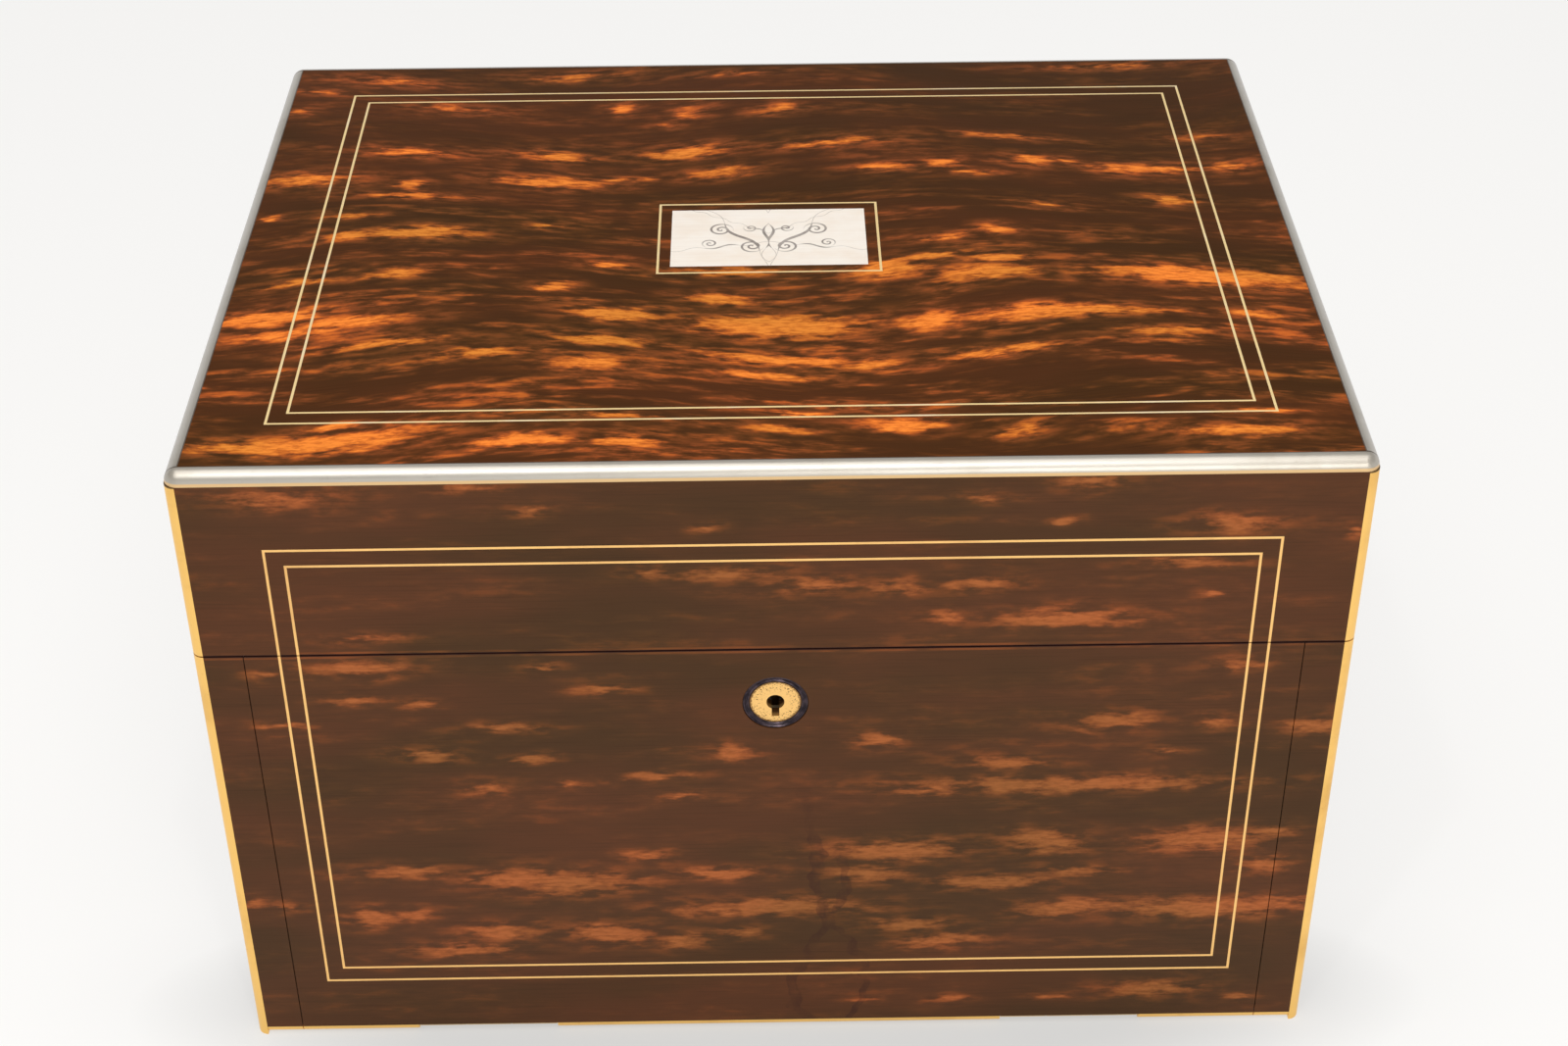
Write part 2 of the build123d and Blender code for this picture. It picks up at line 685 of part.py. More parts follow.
with BuildPart() as mirror_ribbon_tab:
    tab_y = (frame_front, frame_front + tab_length)
    slab((-tab_width / 2, tab_width / 2), tab_y, (mirror_bottom - tab_thickness, mirror_bottom))
write(mirror_ribbon_tab, "mirror_ribbon_tab")

# ---------------------------------------------------------------- lock
lock_front = fall_inside - lock_depth
selvedge_z = (base_top - selvedge_thickness, base_top)
lock_z = (base_top - lock_height, base_top - selvedge_thickness)
lock_centre_z = base_top - lock_centre_drop
cap_front = fall_inside - lock_wall
loop_bottom = lid_bottom - loop_length
loop_centre_z = loop_bottom + loop_width / 2
loop_y = (link_centre_y - loop_width / 2, link_centre_y + loop_width / 2)
notch_half = loop_thickness / 2 + loop_gap
notch_bottom = loop_bottom - 2 * loop_gap


def loop_notches():
    """Cut the two notches, open to the top and the rear, that the loops of the lid drop into."""
    for side in sides:
        middle = side * loop_spacing / 2
        notch_y = (lock_front + lock_wall, fall_inside)
        slab((middle - notch_half, middle + notch_half), notch_y, (notch_bottom, base_top), Mode.SUBTRACT)


def keyhole(depth_span):
    """Cut the keyhole: a round for the key's pin and a slot for its bit."""
    with BuildSketch(Plane.XZ.offset(-depth_span[1])) as outline:
        with Locations((0, lock_centre_z)):
            Circle(keyhole_radius)
        with Locations((0, lock_centre_z - keyhole_slot_drop / 2)):
            Rectangle(keyhole_slot_width, keyhole_slot_drop)
    extrude(outline.sketch, amount=depth_span[1] - depth_span[0], mode=Mode.SUBTRACT)


with BuildPart() as lock_case:
    slab((-lock_width / 2, lock_width / 2), (lock_front, cap_front), lock_z)
    slab((-selvedge_width / 2, selvedge_width / 2), (lock_front, fall_inside), selvedge_z)
    cavity_x = lock_width / 2 - lock_wall
    cavity_z = (lock_z[0] + lock_wall, lock_z[1])
    slab((-cavity_x, cavity_x), (lock_front + lock_wall, fall_inside), cavity_z, Mode.SUBTRACT)
    loop_notches()
    keyhole((lock_front, lock_front + lock_wall))
write(lock_case, "lock_case")

with BuildPart() as lock_cap:
    slab((-lock_width / 2, lock_width / 2), (cap_front, fall_inside), lock_z)
    loop_notches()
write(lock_cap, "lock_cap")

with BuildPart() as lock_nozzle:
    nozzle_y = (front + lock_disc_sink, lock_front)
    with BuildSketch(Plane.XZ.offset(-nozzle_y[1])):
        with Locations((0, lock_centre_z)):
            Circle(lock_disc_radius)
    extrude(amount=nozzle_y[1] - nozzle_y[0])
    keyhole(nozzle_y)
write(lock_nozzle, "lock_nozzle")

# bolt: a bar with two square horns that shoot sideways into the eyes of the loops
bolt_bar_top = notch_bottom - loop_gap
horn_length = bolt_throw + loop_gap
with BuildPart() as lock_bolt:
    bar_y = (link_centre_y - bolt_bar_width / 2, link_centre_y + bolt_bar_width / 2)
    riser_far = loop_spacing / 2 - loop_thickness / 2 - loop_gap - horn_length
    riser_width = bolt_horn + loop_gap
    horn_y = (link_centre_y - bolt_horn / 2, link_centre_y + bolt_horn / 2)
    horn_z = (loop_centre_z - bolt_horn / 2, loop_centre_z + bolt_horn / 2)
    bar_x = (-loop_spacing + riser_far - riser_width, riser_far)
    slab(bar_x, bar_y, (bolt_bar_top - bolt_bar_height, bolt_bar_top))
    for offset in (0, -loop_spacing):
        riser_x = (offset + riser_far - riser_width, offset + riser_far)
        slab(riser_x, bar_y, (bolt_bar_top, horn_z[1] + loop_gap))
        horn_x = (offset + riser_far, offset + riser_far + horn_length)
        slab(horn_x, horn_y, horn_z)
write(lock_bolt, "lock_bolt")

with BuildPart() as lock_link_plate:
    eye_y = (link_centre_y - loop_eye / 2, link_centre_y + loop_eye / 2)
    eye_z = (loop_centre_z - loop_eye / 2, loop_centre_z + loop_eye / 2)
    slab((-link_plate_width / 2, link_plate_width / 2), link_y, link_z)
    for side in sides:
        middle = side * loop_spacing / 2
        loop_x = (middle - loop_thickness / 2, middle + loop_thickness / 2)
        slab(loop_x, loop_y, (loop_centre_z, lid_bottom))
        rod(loop_x, link_centre_y, loop_centre_z, loop_width / 2)
        slab(loop_x, eye_y, eye_z, Mode.SUBTRACT)
write(lock_link_plate, "lock_link_plate")

# ---------------------------------------------------------------- fall front
fall_x = (-fall_right, fall_right)
fall_leaf_z = (fall_leaf_base_z[1] + fall_hinge_leaf_gap,
               fall_leaf_base_z[1] + fall_hinge_leaf_gap + fall_hinge_leaf)
lining_x = (-fall_right + fall_lining_margin, fall_right - fall_lining_margin)
lining_z = (base_board_top, lock_z[0] - fall_lining_margin / 2)
with BuildPart() as fall_panel:
    slab(fall_x, (front + veneer, fall_inside), (fall_foot_gap, base_top))
    slab(fall_x, (front, front + edging), (0, edging), Mode.SUBTRACT)
    for side in sides:
        start = side * fall_hinge_spacing / 2 - fall_hinge_length / 2
        hinge_x = (start, start + fall_hinge_length)
        slab(hinge_x, (fall_axis_y, fall_inside), (0, fall_leaf_z[1]), Mode.SUBTRACT)
    hinge_room(fall_axis_y, fall_axis_z, fall_knuckle, fall_hinge_spacing, fall_hinge_length)
    slab((-lock_width / 2, lock_width / 2), (lock_front, fall_inside), lock_z, Mode.SUBTRACT)
    slab((-selvedge_width / 2, selvedge_width / 2), (lock_front, fall_inside), selvedge_z, Mode.SUBTRACT)
    with BuildSketch(Plane.XZ.offset(-lock_front)):
        with Locations((0, lock_centre_z)):
            Circle(lock_disc_radius)
    extrude(amount=lock_front - front, mode=Mode.SUBTRACT)
    slab(lining_x, (fall_inside - fall_lining, fall_inside), lining_z, Mode.SUBTRACT)
write(fall_panel, "fall_panel")

with BuildPart() as fall_veneer:
    slab(fall_x, (front, front + veneer), (edging, base_top))
    hinge_room(fall_axis_y, fall_axis_z, fall_knuckle, fall_hinge_spacing, fall_hinge_length)
    front_strings(Mode.SUBTRACT)
    with BuildSketch(Plane.XZ.offset(-front - veneer)):
        with Locations((0, lock_centre_z)):
            Circle(lock_ring_radius)
    extrude(amount=veneer, mode=Mode.SUBTRACT)
write(fall_veneer, "fall_veneer")

with BuildPart() as fall_stringing:
    front_strings()
    slab((-right, right), (front, back), (base_top, box_height), Mode.SUBTRACT)
write(fall_stringing, "fall_stringing")

# foot edging of the fall, in three lengths between the hinge knuckles
with BuildPart() as fall_foot_edging:
    hinge_inner = fall_hinge_spacing / 2 - fall_hinge_length / 2 - knuckle_gap
    hinge_outer = fall_hinge_spacing / 2 + fall_hinge_length / 2 + knuckle_gap
    for start, end in ((-fall_right, -hinge_outer), (-hinge_inner, hinge_inner), (hinge_outer, fall_right)):
        strip = quarter_disc(Plane.YZ.offset(start), (fall_axis_y, fall_axis_z), edging, 180)
        extrude(strip, amount=end - start)
write(fall_foot_edging, "fall_foot_edging")

with BuildPart() as fall_inner_lining:
    slab(lining_x, (fall_inside - fall_lining, fall_inside), lining_z)
write(fall_inner_lining, "fall_inner_lining")

with BuildPart() as fall_hinge_base_leaves:
    hinge_leaves(fall_axis_y, fall_axis_z, fall_knuckle, fall_leaf_far, fall_leaf_base_z,
                 fall_hinge_spacing, fall_hinge_length, fall_hinge_knuckles, 0)
write(fall_hinge_base_leaves, "fall_hinge_base_leaves")

with BuildPart() as fall_hinge_fall_leaves:
    hinge_leaves(fall_axis_y, fall_axis_z, fall_knuckle, fall_inside, fall_leaf_z,
                 fall_hinge_spacing, fall_hinge_length, fall_hinge_knuckles, 1)
    hinge_bores(fall_axis_y, fall_axis_z, fall_hinge_spacing, fall_hinge_length, fall_pin + pin_fit)
write(fall_hinge_fall_leaves, "fall_hinge_fall_leaves")

with BuildPart() as pins:
    hinge_pins(lid_axis_y, seam_height, lid_hinge_spacing, lid_hinge_length, lid_hinge_knuckles, lid_pin)
    hinge_pins(fall_axis_y, fall_axis_z, fall_hinge_spacing, fall_hinge_length, fall_hinge_knuckles,
               fall_pin)
write(pins, "hinge_pins")

# ---------------------------------------------------------------- drawers
drawer_x = inside_right - drawer_side_clearance


def knob(x, z):
    """A turned knob standing out of a drawer's face: a round stem that flares to a flat head."""
    tip = drawer_face - knob_length
    neck = drawer_face - knob_stem_length
    with BuildSketch(Plane.XY.offset(z)) as half_profile:
        with BuildLine():
            Polyline((x, tip), (x, drawer_face), (x + knob_stem_radius, drawer_face),
                     (x + knob_stem_radius, neck), (x + knob_radius, tip), (x, tip))
        make_face()
    revolve(half_profile.sketch, axis=Axis((x, 0, z), (0, 1, 0)))


def make_drawer(name, floor):
    """A drawer: a veneered front, a box of thin boards behind it, and two knobs."""
    box_front = drawer_face + drawer_front_thickness
    wall_top = floor + drawer_height - drawer_lip
    with BuildPart() as drawer_front:
        slab((-drawer_x, drawer_x), (drawer_face, box_front), (floor, floor + drawer_height))
    write(drawer_front, f"{name}_front")
    with BuildPart() as drawer_box:
        bottom_top = floor + drawer_bottom
        slab((-drawer_x, drawer_x), (box_front, drawer_back), (floor, bottom_top))
        wall_z = (bottom_top + glue_line, wall_top)
        for side in sides:
            slab(mirrored(side, drawer_x - drawer_wall, drawer_x), (box_front, drawer_back), wall_z)
        back_x = drawer_x - drawer_wall - glue_line
        slab((-back_x, back_x), (drawer_back - drawer_wall, drawer_back), wall_z)
    write(drawer_box, f"{name}_box")
    with BuildPart() as drawer_knobs:
        for side in sides:
            knob(side * knob_spacing / 2, floor + drawer_height / 2)
    write(drawer_knobs, f"{name}_knobs")


make_drawer("lower_drawer", lower_drawer_floor)
make_drawer("upper_drawer", upper_drawer_floor)

# ---------------------------------------------------------------- tray
tray_x = inside_right - tray_gap
tray_front = inner_front_back + tray_gap
tray_back = back_inside - tray_gap
tray_floor_top = dust_board_top + tray_floor
tray_rim = base_top - tray_rim_drop
wall_z = (tray_floor_top + glue_line, tray_rim)
well_front = tray_front + tray_wall
well_depth = (tray_back - tray_front - (wells_deep + 1) * tray_wall) / wells_deep
well_pitch = well_depth + tray_wall
column_edge = tray_x - tray_wall - well_depth  # inner side of the side wells, which are square

with BuildPart() as tray_bottom:
    slab((-tray_x, tray_x), (tray_front, tray_back), (dust_board_top, tray_floor_top))
write(tray_bottom, "tray_bottom")

with BuildPart() as tray_frame:
    for side in sides:
        slab(mirrored(side, tray_x - tray_wall, tray_x), (tray_front, tray_back), wall_z)
    rail_x = tray_x - tray_wall - glue_line
    slab((-rail_x, rail_x), (tray_front, tray_front + tray_wall), wall_z)
    slab((-rail_x, rail_x), (tray_back - tray_wall, tray_back), wall_z)
write(tray_frame, "tray_frame")

centre_x = column_edge - tray_wall
with BuildPart() as tray_partitions:
    for side in sides:
        strip_y = (well_front + glue_line, tray_back - tray_wall - glue_line)
        slab(mirrored(side, centre_x, column_edge), strip_y, wall_z)
        cross_x = mirrored(side, column_edge + glue_line, tray_x - tray_wall - glue_line)
        for index in range(1, wells_deep):
            cross_front = well_front + index * well_pitch - tray_wall
            slab(cross_x, (cross_front, cross_front + tray_wall), wall_z)
    for index in (1, wells_deep - 1):
        cross_front = well_front + index * well_pitch - tray_wall
        cross_span = (-centre_x + glue_line, centre_x - glue_line)
        slab(cross_span, (cross_front, cross_front + tray_wall), wall_z)
    rear_front = well_front + (wells_deep - 1) * well_pitch
    rear_span = (rear_front + glue_line, tray_back - tray_wall - glue_line)
    slab((-tray_wall / 2, tray_wall / 2), rear_span, wall_z)
write(tray_partitions, "tray_partitions")

# ---------------------------------------------------------------- bottles, jars and tool pad
well_centre_x = column_edge + well_depth / 2
bottle_size = well_depth - 2 * bottle_gap
bottle_places = [(side * well_centre_x, well_front + index * well_pitch + well_depth / 2)
                 for side in sides for index in range(wells_deep // 2, wells_deep)]
jar_places = [(side * well_centre_x, well_front + index * well_pitch + well_depth / 2)
              for side in sides for index in range(wells_deep // 2)]
shoulder_z = tray_floor_top + bottle_height
rear_jar_width = centre_x - tray_wall / 2 - 2 * bottle_gap
rear_jar_x = (centre_x + tray_wall / 2) / 2
rear_jar_y = well_front + (wells_deep - 1) * well_pitch + well_depth / 2
long_jar_width = 2 * centre_x - 2 * bottle_gap
long_jar_y = well_front + well_depth / 2
jars = [(x, y, bottle_size) for x, y in jar_places]
jars += [(side * rear_jar_x, rear_jar_y, rear_jar_width) for side in sides]
jars += [(0, long_jar_y, long_jar_width)]
jar_top = tray_floor_top + jar_height


def glass_block(x, y, width, z_span, inset=0, mode=Mode.ADD):
    """A block of glass with flattened corners, or the hollow inside one."""
    with BuildSketch(Plane.XY.offset(z_span[0])) as outline:
        with Locations((x, y)):
            Rectangle(width - 2 * inset, bottle_size - 2 * inset)
        chamfer(outline.vertices(), glass_corner)
    extrude(outline.sketch, amount=z_span[1] - z_span[0], mode=mode)


# scent bottles: square bodies with flattened corners, sloping shoulders and a round mouth
with BuildPart() as scent_bottles:
    for x, y in bottle_places:
        glass_block(x, y, bottle_size, (tray_floor_top, shoulder_z - bottle_shoulder))
        shoulder_sections = []
        for height, inset in ((shoulder_z - bottle_shoulder, 0), (shoulder_z, bottle_shoulder)):
            with BuildSketch(Plane.XY.offset(height), mode=Mode.PRIVATE) as section:
                with Locations((x, y)):
                    Rectangle(bottle_size - 2 * inset, bottle_size - 2 * inset)
                chamfer(section.vertices(), glass_corner)
            shoulder_sections.append(section.sketch.faces()[0])
        loft(shoulder_sections, ruled=True)
        hollow_z = (tray_floor_top + glass_wall, shoulder_z - bottle_shoulder)
        glass_block(x, y, bottle_size, hollow_z, glass_wall, Mode.SUBTRACT)
        with BuildSketch(Plane.XY.offset(hollow_z[1])):
            with Locations((x, y)):
                Circle(bottle_mouth)
        extrude(amount=bottle_shoulder, mode=Mode.SUBTRACT)
write(scent_bottles, "scent_bottles")

# caps: square silver tops over a cork, with the bottle's flattened corners and a bevelled rim
with BuildPart() as bottle_caps:
    for x, y in bottle_places:
        with BuildSketch(Plane.XY.offset(shoulder_z)) as outline:
            with Locations((x, y)):
                Rectangle(cap_width, cap_width)
            chamfer(outline.vertices(), glass_corner)
        extrude(amount=cap_height)
    chamfer(bottle_caps.faces().group_by(Axis.Z)[-1].edges(), cap_bevel)
write(bottle_caps, "bottle_caps")

with BuildPart() as glass_jars:
    for x, y, width in jars:
        glass_block(x, y, width, (tray_floor_top, jar_top))
        glass_block(x, y, width, (tray_floor_top + glass_wall, jar_top), glass_wall, Mode.SUBTRACT)
write(glass_jars, "glass_jars")

with BuildPart() as jar_lids:
    for x, y, width in jars:
        glass_block(x, y, width, (jar_top, jar_top + jar_lid_height))
    chamfer(jar_lids.faces().group_by(Axis.Z)[-1].edges(), jar_lid_bevel)
write(jar_lids, "jar_lids")

with BuildPart() as tool_pad:
    pad_x = centre_x - tool_pad_gap
    pad_front = well_front + well_pitch + tool_pad_gap
    pad_back = rear_front - tray_wall - tool_pad_gap
    slab((-pad_x, pad_x), (pad_front, pad_back), (tray_floor_top, tray_floor_top + tool_pad_height))
    fillet(tool_pad.faces().sort_by(Axis.Z)[-1].edges(), tool_pad_round)
write(tool_pad, "tool_pad")
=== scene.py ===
from math import cos, pi, radians

import bpy
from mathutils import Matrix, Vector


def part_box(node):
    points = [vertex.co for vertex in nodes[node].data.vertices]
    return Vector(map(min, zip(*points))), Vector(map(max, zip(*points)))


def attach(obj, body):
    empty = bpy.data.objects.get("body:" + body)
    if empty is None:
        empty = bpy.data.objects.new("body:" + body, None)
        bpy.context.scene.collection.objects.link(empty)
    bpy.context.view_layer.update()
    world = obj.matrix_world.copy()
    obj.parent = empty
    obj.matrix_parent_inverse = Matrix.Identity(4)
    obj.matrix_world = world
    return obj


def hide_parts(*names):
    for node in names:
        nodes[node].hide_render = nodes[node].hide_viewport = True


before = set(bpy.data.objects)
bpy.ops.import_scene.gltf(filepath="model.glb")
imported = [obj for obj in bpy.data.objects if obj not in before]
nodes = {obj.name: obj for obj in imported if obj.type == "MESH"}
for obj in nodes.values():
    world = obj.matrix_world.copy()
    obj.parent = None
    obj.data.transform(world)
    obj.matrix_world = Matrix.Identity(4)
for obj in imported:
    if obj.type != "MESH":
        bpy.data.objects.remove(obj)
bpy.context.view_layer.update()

# ---------------------------------------------------------------- camera, floor and light
# The box stands on a pale studio floor, seen from the front and about 35 degrees above. A large
# soft lamp hangs over it, a second one stands low in front, and two small ones glint in the edging.
camera = bpy.data.objects.new("camera", bpy.data.cameras.new("camera"))
camera.data.lens = 59.09
camera.data.sensor_width = 36
camera.data.clip_start = 0.01
camera.location = (-0.002, -0.6496, 0.5571)
camera.rotation_euler = (radians(54.668), radians(0.390), radians(-0.781))
bpy.context.scene.collection.objects.link(camera)
bpy.context.scene.camera = camera
bpy.context.scene.view_settings.view_transform = "Standard"


class Shade:
    """A value, colour or direction in a finish, so that its maths reads as arithmetic."""

    def __init__(self, tree, socket=None):
        self.tree = tree
        self.socket = socket

    def node(self, kind, inputs, output=0, stops=(), **settings):
        """Add a node: its settings first, then a value or a link for each socket named."""
        made = self.tree.nodes.new("ShaderNode" + kind)
        for setting, value in settings.items():
            setattr(made, setting, value)
        for index, (position, colour) in enumerate(stops):
            bands = made.color_ramp.elements
            stop = bands[index] if index < 2 else bands.new(position)
            stop.position = position
            stop.color = (*colour, 1)
        for name, value in inputs.items():
            if isinstance(value, Shade):
                self.tree.links.new(value.socket, made.inputs[name])
            else:
                made.inputs[name].default_value = value
        return Shade(self.tree, made.outputs[output])

    def maths(self, operation, *others, output=0):
        values = (self, *others)
        shades = [value for value in values if isinstance(value, Shade)]
        if any(type(value) is tuple for value in values) or any(s.socket.type == "VECTOR" for s in shades):
            values = [value if isinstance(value, (Shade, tuple)) else (value,) * 3 for value in values]
            return self.node("VectorMath", dict(enumerate(values)), output, operation=operation)
        return self.node("Math", dict(enumerate(values)), output, operation=operation)

    def __add__(self, other):
        return self.maths("ADD", other)

    def __sub__(self, other):
        return self.maths("SUBTRACT", other)

    def __rsub__(self, other):
        return (self * -1).maths("ADD", other)

    def __mul__(self, other):
        return self.maths("MULTIPLY", other)

    __radd__ = __add__
    __rmul__ = __mul__

    def most(self, other):
        return self.maths("MAXIMUM", other)

    def least(self, other):
        return self.maths("MINIMUM", other)

    def rise(self, low, high):
        """0 below low, 1 above high, and a soft step between them."""
        span = {"Value": self, "From Min": low, "From Max": high}
        return self.node("MapRange", span, interpolation_type="SMOOTHSTEP")

    def stripe(self, middle, half):
        """1 on a line of this half width about a value, and 0 beside it."""
        return 1 - (self - middle).maths("ABSOLUTE").rise(half * 0.75, half)

    def noise(self, size, detail=3.0, roughness=0.5, output=0):
        """Cloudy noise from 0 to 1 whose clouds have this size in millimetres on each axis."""
        steps = tuple(1 / length for length in size)
        settings = {"Vector": self * steps, "Scale": 1.0, "Detail": detail, "Roughness": roughness}
        return self.node("TexNoise", settings, output)

    def pick(self, low, high):
        """The colour low where this is 0, high where it is 1, and a blend between."""
        colours = {0: self, 6: low, 7: high}
        for index in (6, 7):
            if not isinstance(colours[index], Shade):
                colours[index] = (*colours[index], 1)
        return self.node("Mix", colours, 2, data_type="RGBA")

    def tint(self, other):
        """This colour multiplied by another colour, or by a grey value."""
        other = other if isinstance(other, Shade) else (*other, 1)
        return self.node("Mix", {0: 1.0, 6: self, 7: other}, 2, data_type="RGBA", blend_type="MULTIPLY")

    def bump(self, height):
        """A surface direction for this height, where 1 stands this many millimetres proud."""
        return self.node("Bump", {"Height": self, "Distance": height / 1000})

    def axes(self):
        split = self.node("SeparateXYZ", {0: self}).socket.node.outputs
        return [Shade(self.tree, output) for output in split]

    def joined(self, x, y, z):
        return self.node("CombineXYZ", {0: x, 1: y, 2: z})


def new_finish(name):
    """A new material, and the place of each point of it on the closed box in millimetres."""
    material = bpy.data.materials.new(name)
    material.use_nodes = True
    place = Shade(material.node_tree).node("TexCoord", {}, "Object")
    return material, place * 1000.0


def lay(material, **sockets):
    """Set or link the main shader's sockets, which are named with underscores for spaces."""
    shader = material.node_tree.nodes["Principled BSDF"]
    for name, value in sockets.items():
        socket = shader.inputs[name.replace("_", " ")]
        if isinstance(value, Shade):
            material.node_tree.links.new(value.socket, socket)
        else:
            socket.default_value = (*value, 1) if socket.type == "RGBA" else value


def dress(material, *names):
    """Give carried-over pieces of the frame their finish."""
    for name in names:
        slots = nodes[name].data.materials
        slots.clear()
        slots.append(material)


bpy.ops.object.select_all(action="DESELECT")
bpy.ops.mesh.primitive_plane_add(size=60, location=(0, 0, 0))
floor = bpy.context.object
floor.name = "studio_floor"
floor_paper, place = new_finish("floor_paper")
floor.data.materials.append(floor_paper)
floor_x, floor_y, floor_z = place.axes()
# A soft shadow round the front of the box is painted into the floor's colour and glow, and the glow fades towards the
# back: painted shadow and a painted fall-off of light, fixed in place.
off_x, off_y = floor_x * (1 / 205), (floor_y + 108) * (1 / 58)
painted_contact_shadow = 1 - (off_x * off_x + off_y * off_y).maths("SQRT").rise(0.50, 1.18)
lay(floor_paper, Base_Color=painted_contact_shadow.pick((0.84, 0.84, 0.83), (0.55, 0.55, 0.54)), Roughness=0.9,
    Specular_IOR_Level=0.1)
rays = place.node("LightPath", {}).socket.node.outputs
seen_direct = Shade(place.tree, rays["Is Camera Ray"]).most(Shade(place.tree, rays["Is Transmission Ray"]))
seen_plain = seen_direct.most(Shade(place.tree, rays["Is Glossy Ray"]))
paper_glow_with_painted_shadow = (floor_y.rise(-250, 900) * -0.13 + 1.12) * (1 - painted_contact_shadow * 0.36)
glow = place.node("Emission", {"Color": paper_glow_with_painted_shadow.pick((0, 0, 0), (1.0, 0.995, 0.985)), "Strength": 1.0})
paper = floor_paper.node_tree.nodes["Principled BSDF"].outputs[0]
shown = place.node("MixShader", {0: seen_plain * 0.72, 1: Shade(place.tree, paper), 2: glow})
place.tree.links.new(shown.socket, floor_paper.node_tree.nodes["Material Output"].inputs["Surface"])

studio = bpy.data.worlds.new("studio")
studio.use_nodes = True
bpy.context.scene.world = studio
air = Shade(studio.node_tree)
height = air.node("TexCoord", {}, "Generated").axes()[2]
dim = air.node("ValToRGB", {"Fac": height}, stops=[
    (0.0, (0.86, 0.86, 0.85)), (0.22, (0.80, 0.80, 0.79)), (0.42, (0.16, 0.155, 0.15)), (1.0, (0.30, 0.29, 0.28))])
seen_sky = Shade(air.tree, air.node("LightPath", {}).socket.node.outputs["Is Camera Ray"])
backdrop = studio.node_tree.nodes["Background"]
backdrop.inputs["Strength"].default_value = 1.0
air.tree.links.new(seen_sky.pick(dim, (0.93, 0.93, 0.925)).socket, backdrop.inputs["Color"])


def lamp(name, place, aim, size, power, warmth=(1, 1, 1)):
    """A soft square lamp of a studio, turned towards a point."""
    light = bpy.data.lights.new(name, "AREA")
    light.size = size
    light.energy = power
    light.color = warmth
    hung = bpy.data.objects.new(name, light)
    hung.location = place
    toward = hung.location - type(hung.location)(aim)
    hung.rotation_euler = toward.to_track_quat("Z", "Y").to_euler()
    bpy.context.scene.collection.objects.link(hung)
    return hung


lamp("over_lamp", (-0.10, -0.60, 1.75), (0, 0, 0.1), 1.8, 27, (1.0, 0.97, 0.93))
lamp("front_lamp", (0.4, -1.6, 0.75), (0, 0, 0.1), 0.8, 9, (1.0, 0.96, 0.9))
for side, reach in (("left", -0.213), ("right", 0.057)):
    lamp("glint_lamp_" + side, (reach, -0.60, 1.20), (reach / 3, -0.119, 0.195), 0.05, 1.5)

